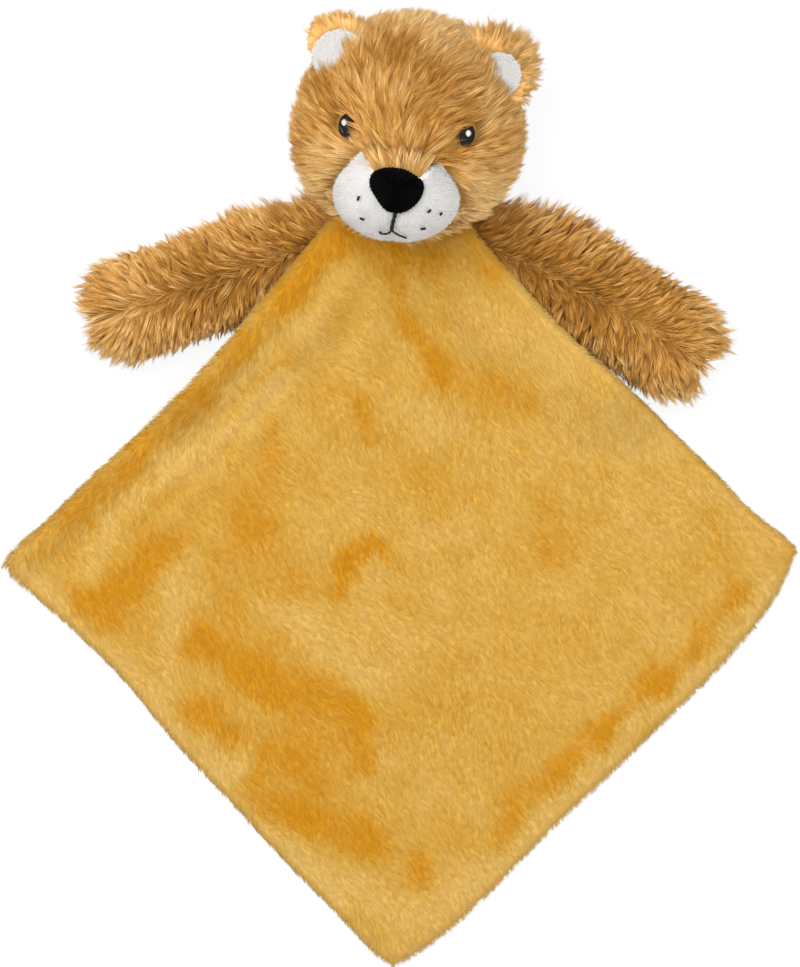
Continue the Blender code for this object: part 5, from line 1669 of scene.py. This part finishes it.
class COMFORTER_OT_stage(Operator):
    """Sets the pale floor, the soft light and the camera over the toy"""

    bl_idname = "comforter.stage"
    bl_label = "Stage"

    def execute(self, context):
        scene = context.scene
        sizes = scene.comforter_stage
        finish = Finish("pale_floor", 0.9, 0.0, 0.1)
        finish.colour(opaque(sizes.floor))
        glow = finish.add("ShaderNodeEmission", None, {"Color": WHITE_LIGHT, "Strength": 1.0})
        rays = finish.add("ShaderNodeLightPath").socket.node.outputs
        camera_ray, glossy_ray, passing_ray = (
            Shade(finish, rays[f"Is {kind} Ray"]) for kind in ("Camera", "Glossy", "Transmission")
        )
        seen = camera_ray + glossy_ray + passing_ray
        share = seen.maths("MINIMUM", seen, 1.0) * 0.88
        lit = Shade(finish, finish.shader.outputs[0])
        both = finish.add("ShaderNodeMixShader", None, {0: share, 1: lit, 2: glow})
        finish.feed(finish.output.inputs["Surface"], both)
        corners = [(x * 3000, y * 3000, -0.3) for x, y in ((-1, -1), (1, -1), (1, 1), (-1, 1))]
        floor = plain_mesh("floor", corners, [(0, 1, 2, 3)], finish.material)
        world = bpy.data.worlds.new("even_sky")
        world.use_nodes = True
        background = world.node_tree.nodes["Background"].inputs
        background["Color"].default_value = WHITE_LIGHT
        background["Strength"].default_value = sizes.sky
        scene.world = world
        lamps = (("key_lamp", (-0.5, 0.75, 1.6), 1.0, 1.1), ("fill_lamp", (0.8, -0.4, 1.7), 0.35, 1.4))
        for name, place, power, size in lamps:
            light = bpy.data.lights.new(name, "AREA")
            light.energy = sizes.lamp * power
            light.size = size
            lamp = bpy.data.objects.new(name, light)
            lamp.location = place
            lamp.rotation_euler = (Vector((0, 0.05, 0)) - Vector(place)).to_track_quat("-Z", "Y").to_euler()
            scene.collection.objects.link(lamp)
        camera = bpy.data.cameras.new("camera")
        camera.sensor_fit = "VERTICAL"
        camera.sensor_height = 24
        camera.lens = 24 * sizes.distance / (PHOTO_HEIGHT * MM_PER_PIXEL * MM)
        camera.clip_start = 1
        camera.clip_end = 40
        eye = bpy.data.objects.new("camera", camera)
        eye.location = (0, (BLANKET_ROW - PHOTO_HEIGHT / 2) * MM_PER_PIXEL * MM, sizes.distance)
        scene.collection.objects.link(eye)
        scene.camera = eye
        scene.view_settings.view_transform = "Standard"
        return {"FINISHED"}


class COMFORTER_PT_panel(Panel):
    """Lists the pieces in the sidebar"""

    bl_label = "Comforter"
    bl_space_type = "VIEW_3D"
    bl_region_type = "UI"
    bl_category = "Comforter"

    def draw(self, context):
        for operator in OPERATORS:
            self.layout.operator(operator.bl_idname)
        for group in ("comforter_blanket", "comforter_fur", "comforter_face", "comforter_stage"):
            settings = getattr(context.scene, group)
            box = self.layout.box()
            for name in settings.__annotations__:
                box.prop(settings, name)


GROUPS = {
    "comforter_blanket": COMFORTER_PG_blanket,
    "comforter_fur": COMFORTER_PG_fur,
    "comforter_face": COMFORTER_PG_face,
    "comforter_stage": COMFORTER_PG_stage,
}
OPERATORS = (
    COMFORTER_OT_blanket,
    COMFORTER_OT_neck,
    COMFORTER_OT_head,
    COMFORTER_OT_muzzle,
    COMFORTER_OT_nose,
    COMFORTER_OT_eyes,
    COMFORTER_OT_mouth,
    COMFORTER_OT_ears,
    COMFORTER_OT_arms,
    COMFORTER_OT_stage,
)


def register():
    for name, group in GROUPS.items():
        bpy.utils.register_class(group)
        setattr(bpy.types.Scene, name, PointerProperty(type=group))
    for thing in (*OPERATORS, COMFORTER_PT_panel):
        bpy.utils.register_class(thing)


def unregister():
    for thing in (COMFORTER_PT_panel, *reversed(OPERATORS)):
        bpy.utils.unregister_class(thing)
    for name, group in reversed(GROUPS.items()):
        delattr(bpy.types.Scene, name)
        bpy.utils.unregister_class(group)


def main():
    register()
    for operator in OPERATORS:
        group, name = operator.bl_idname.split(".")
        if getattr(getattr(bpy.ops, group), name)() != {"FINISHED"}:
            raise RuntimeError(f"{operator.bl_label} wasn't made")


if __name__ == "__main__":
    main()
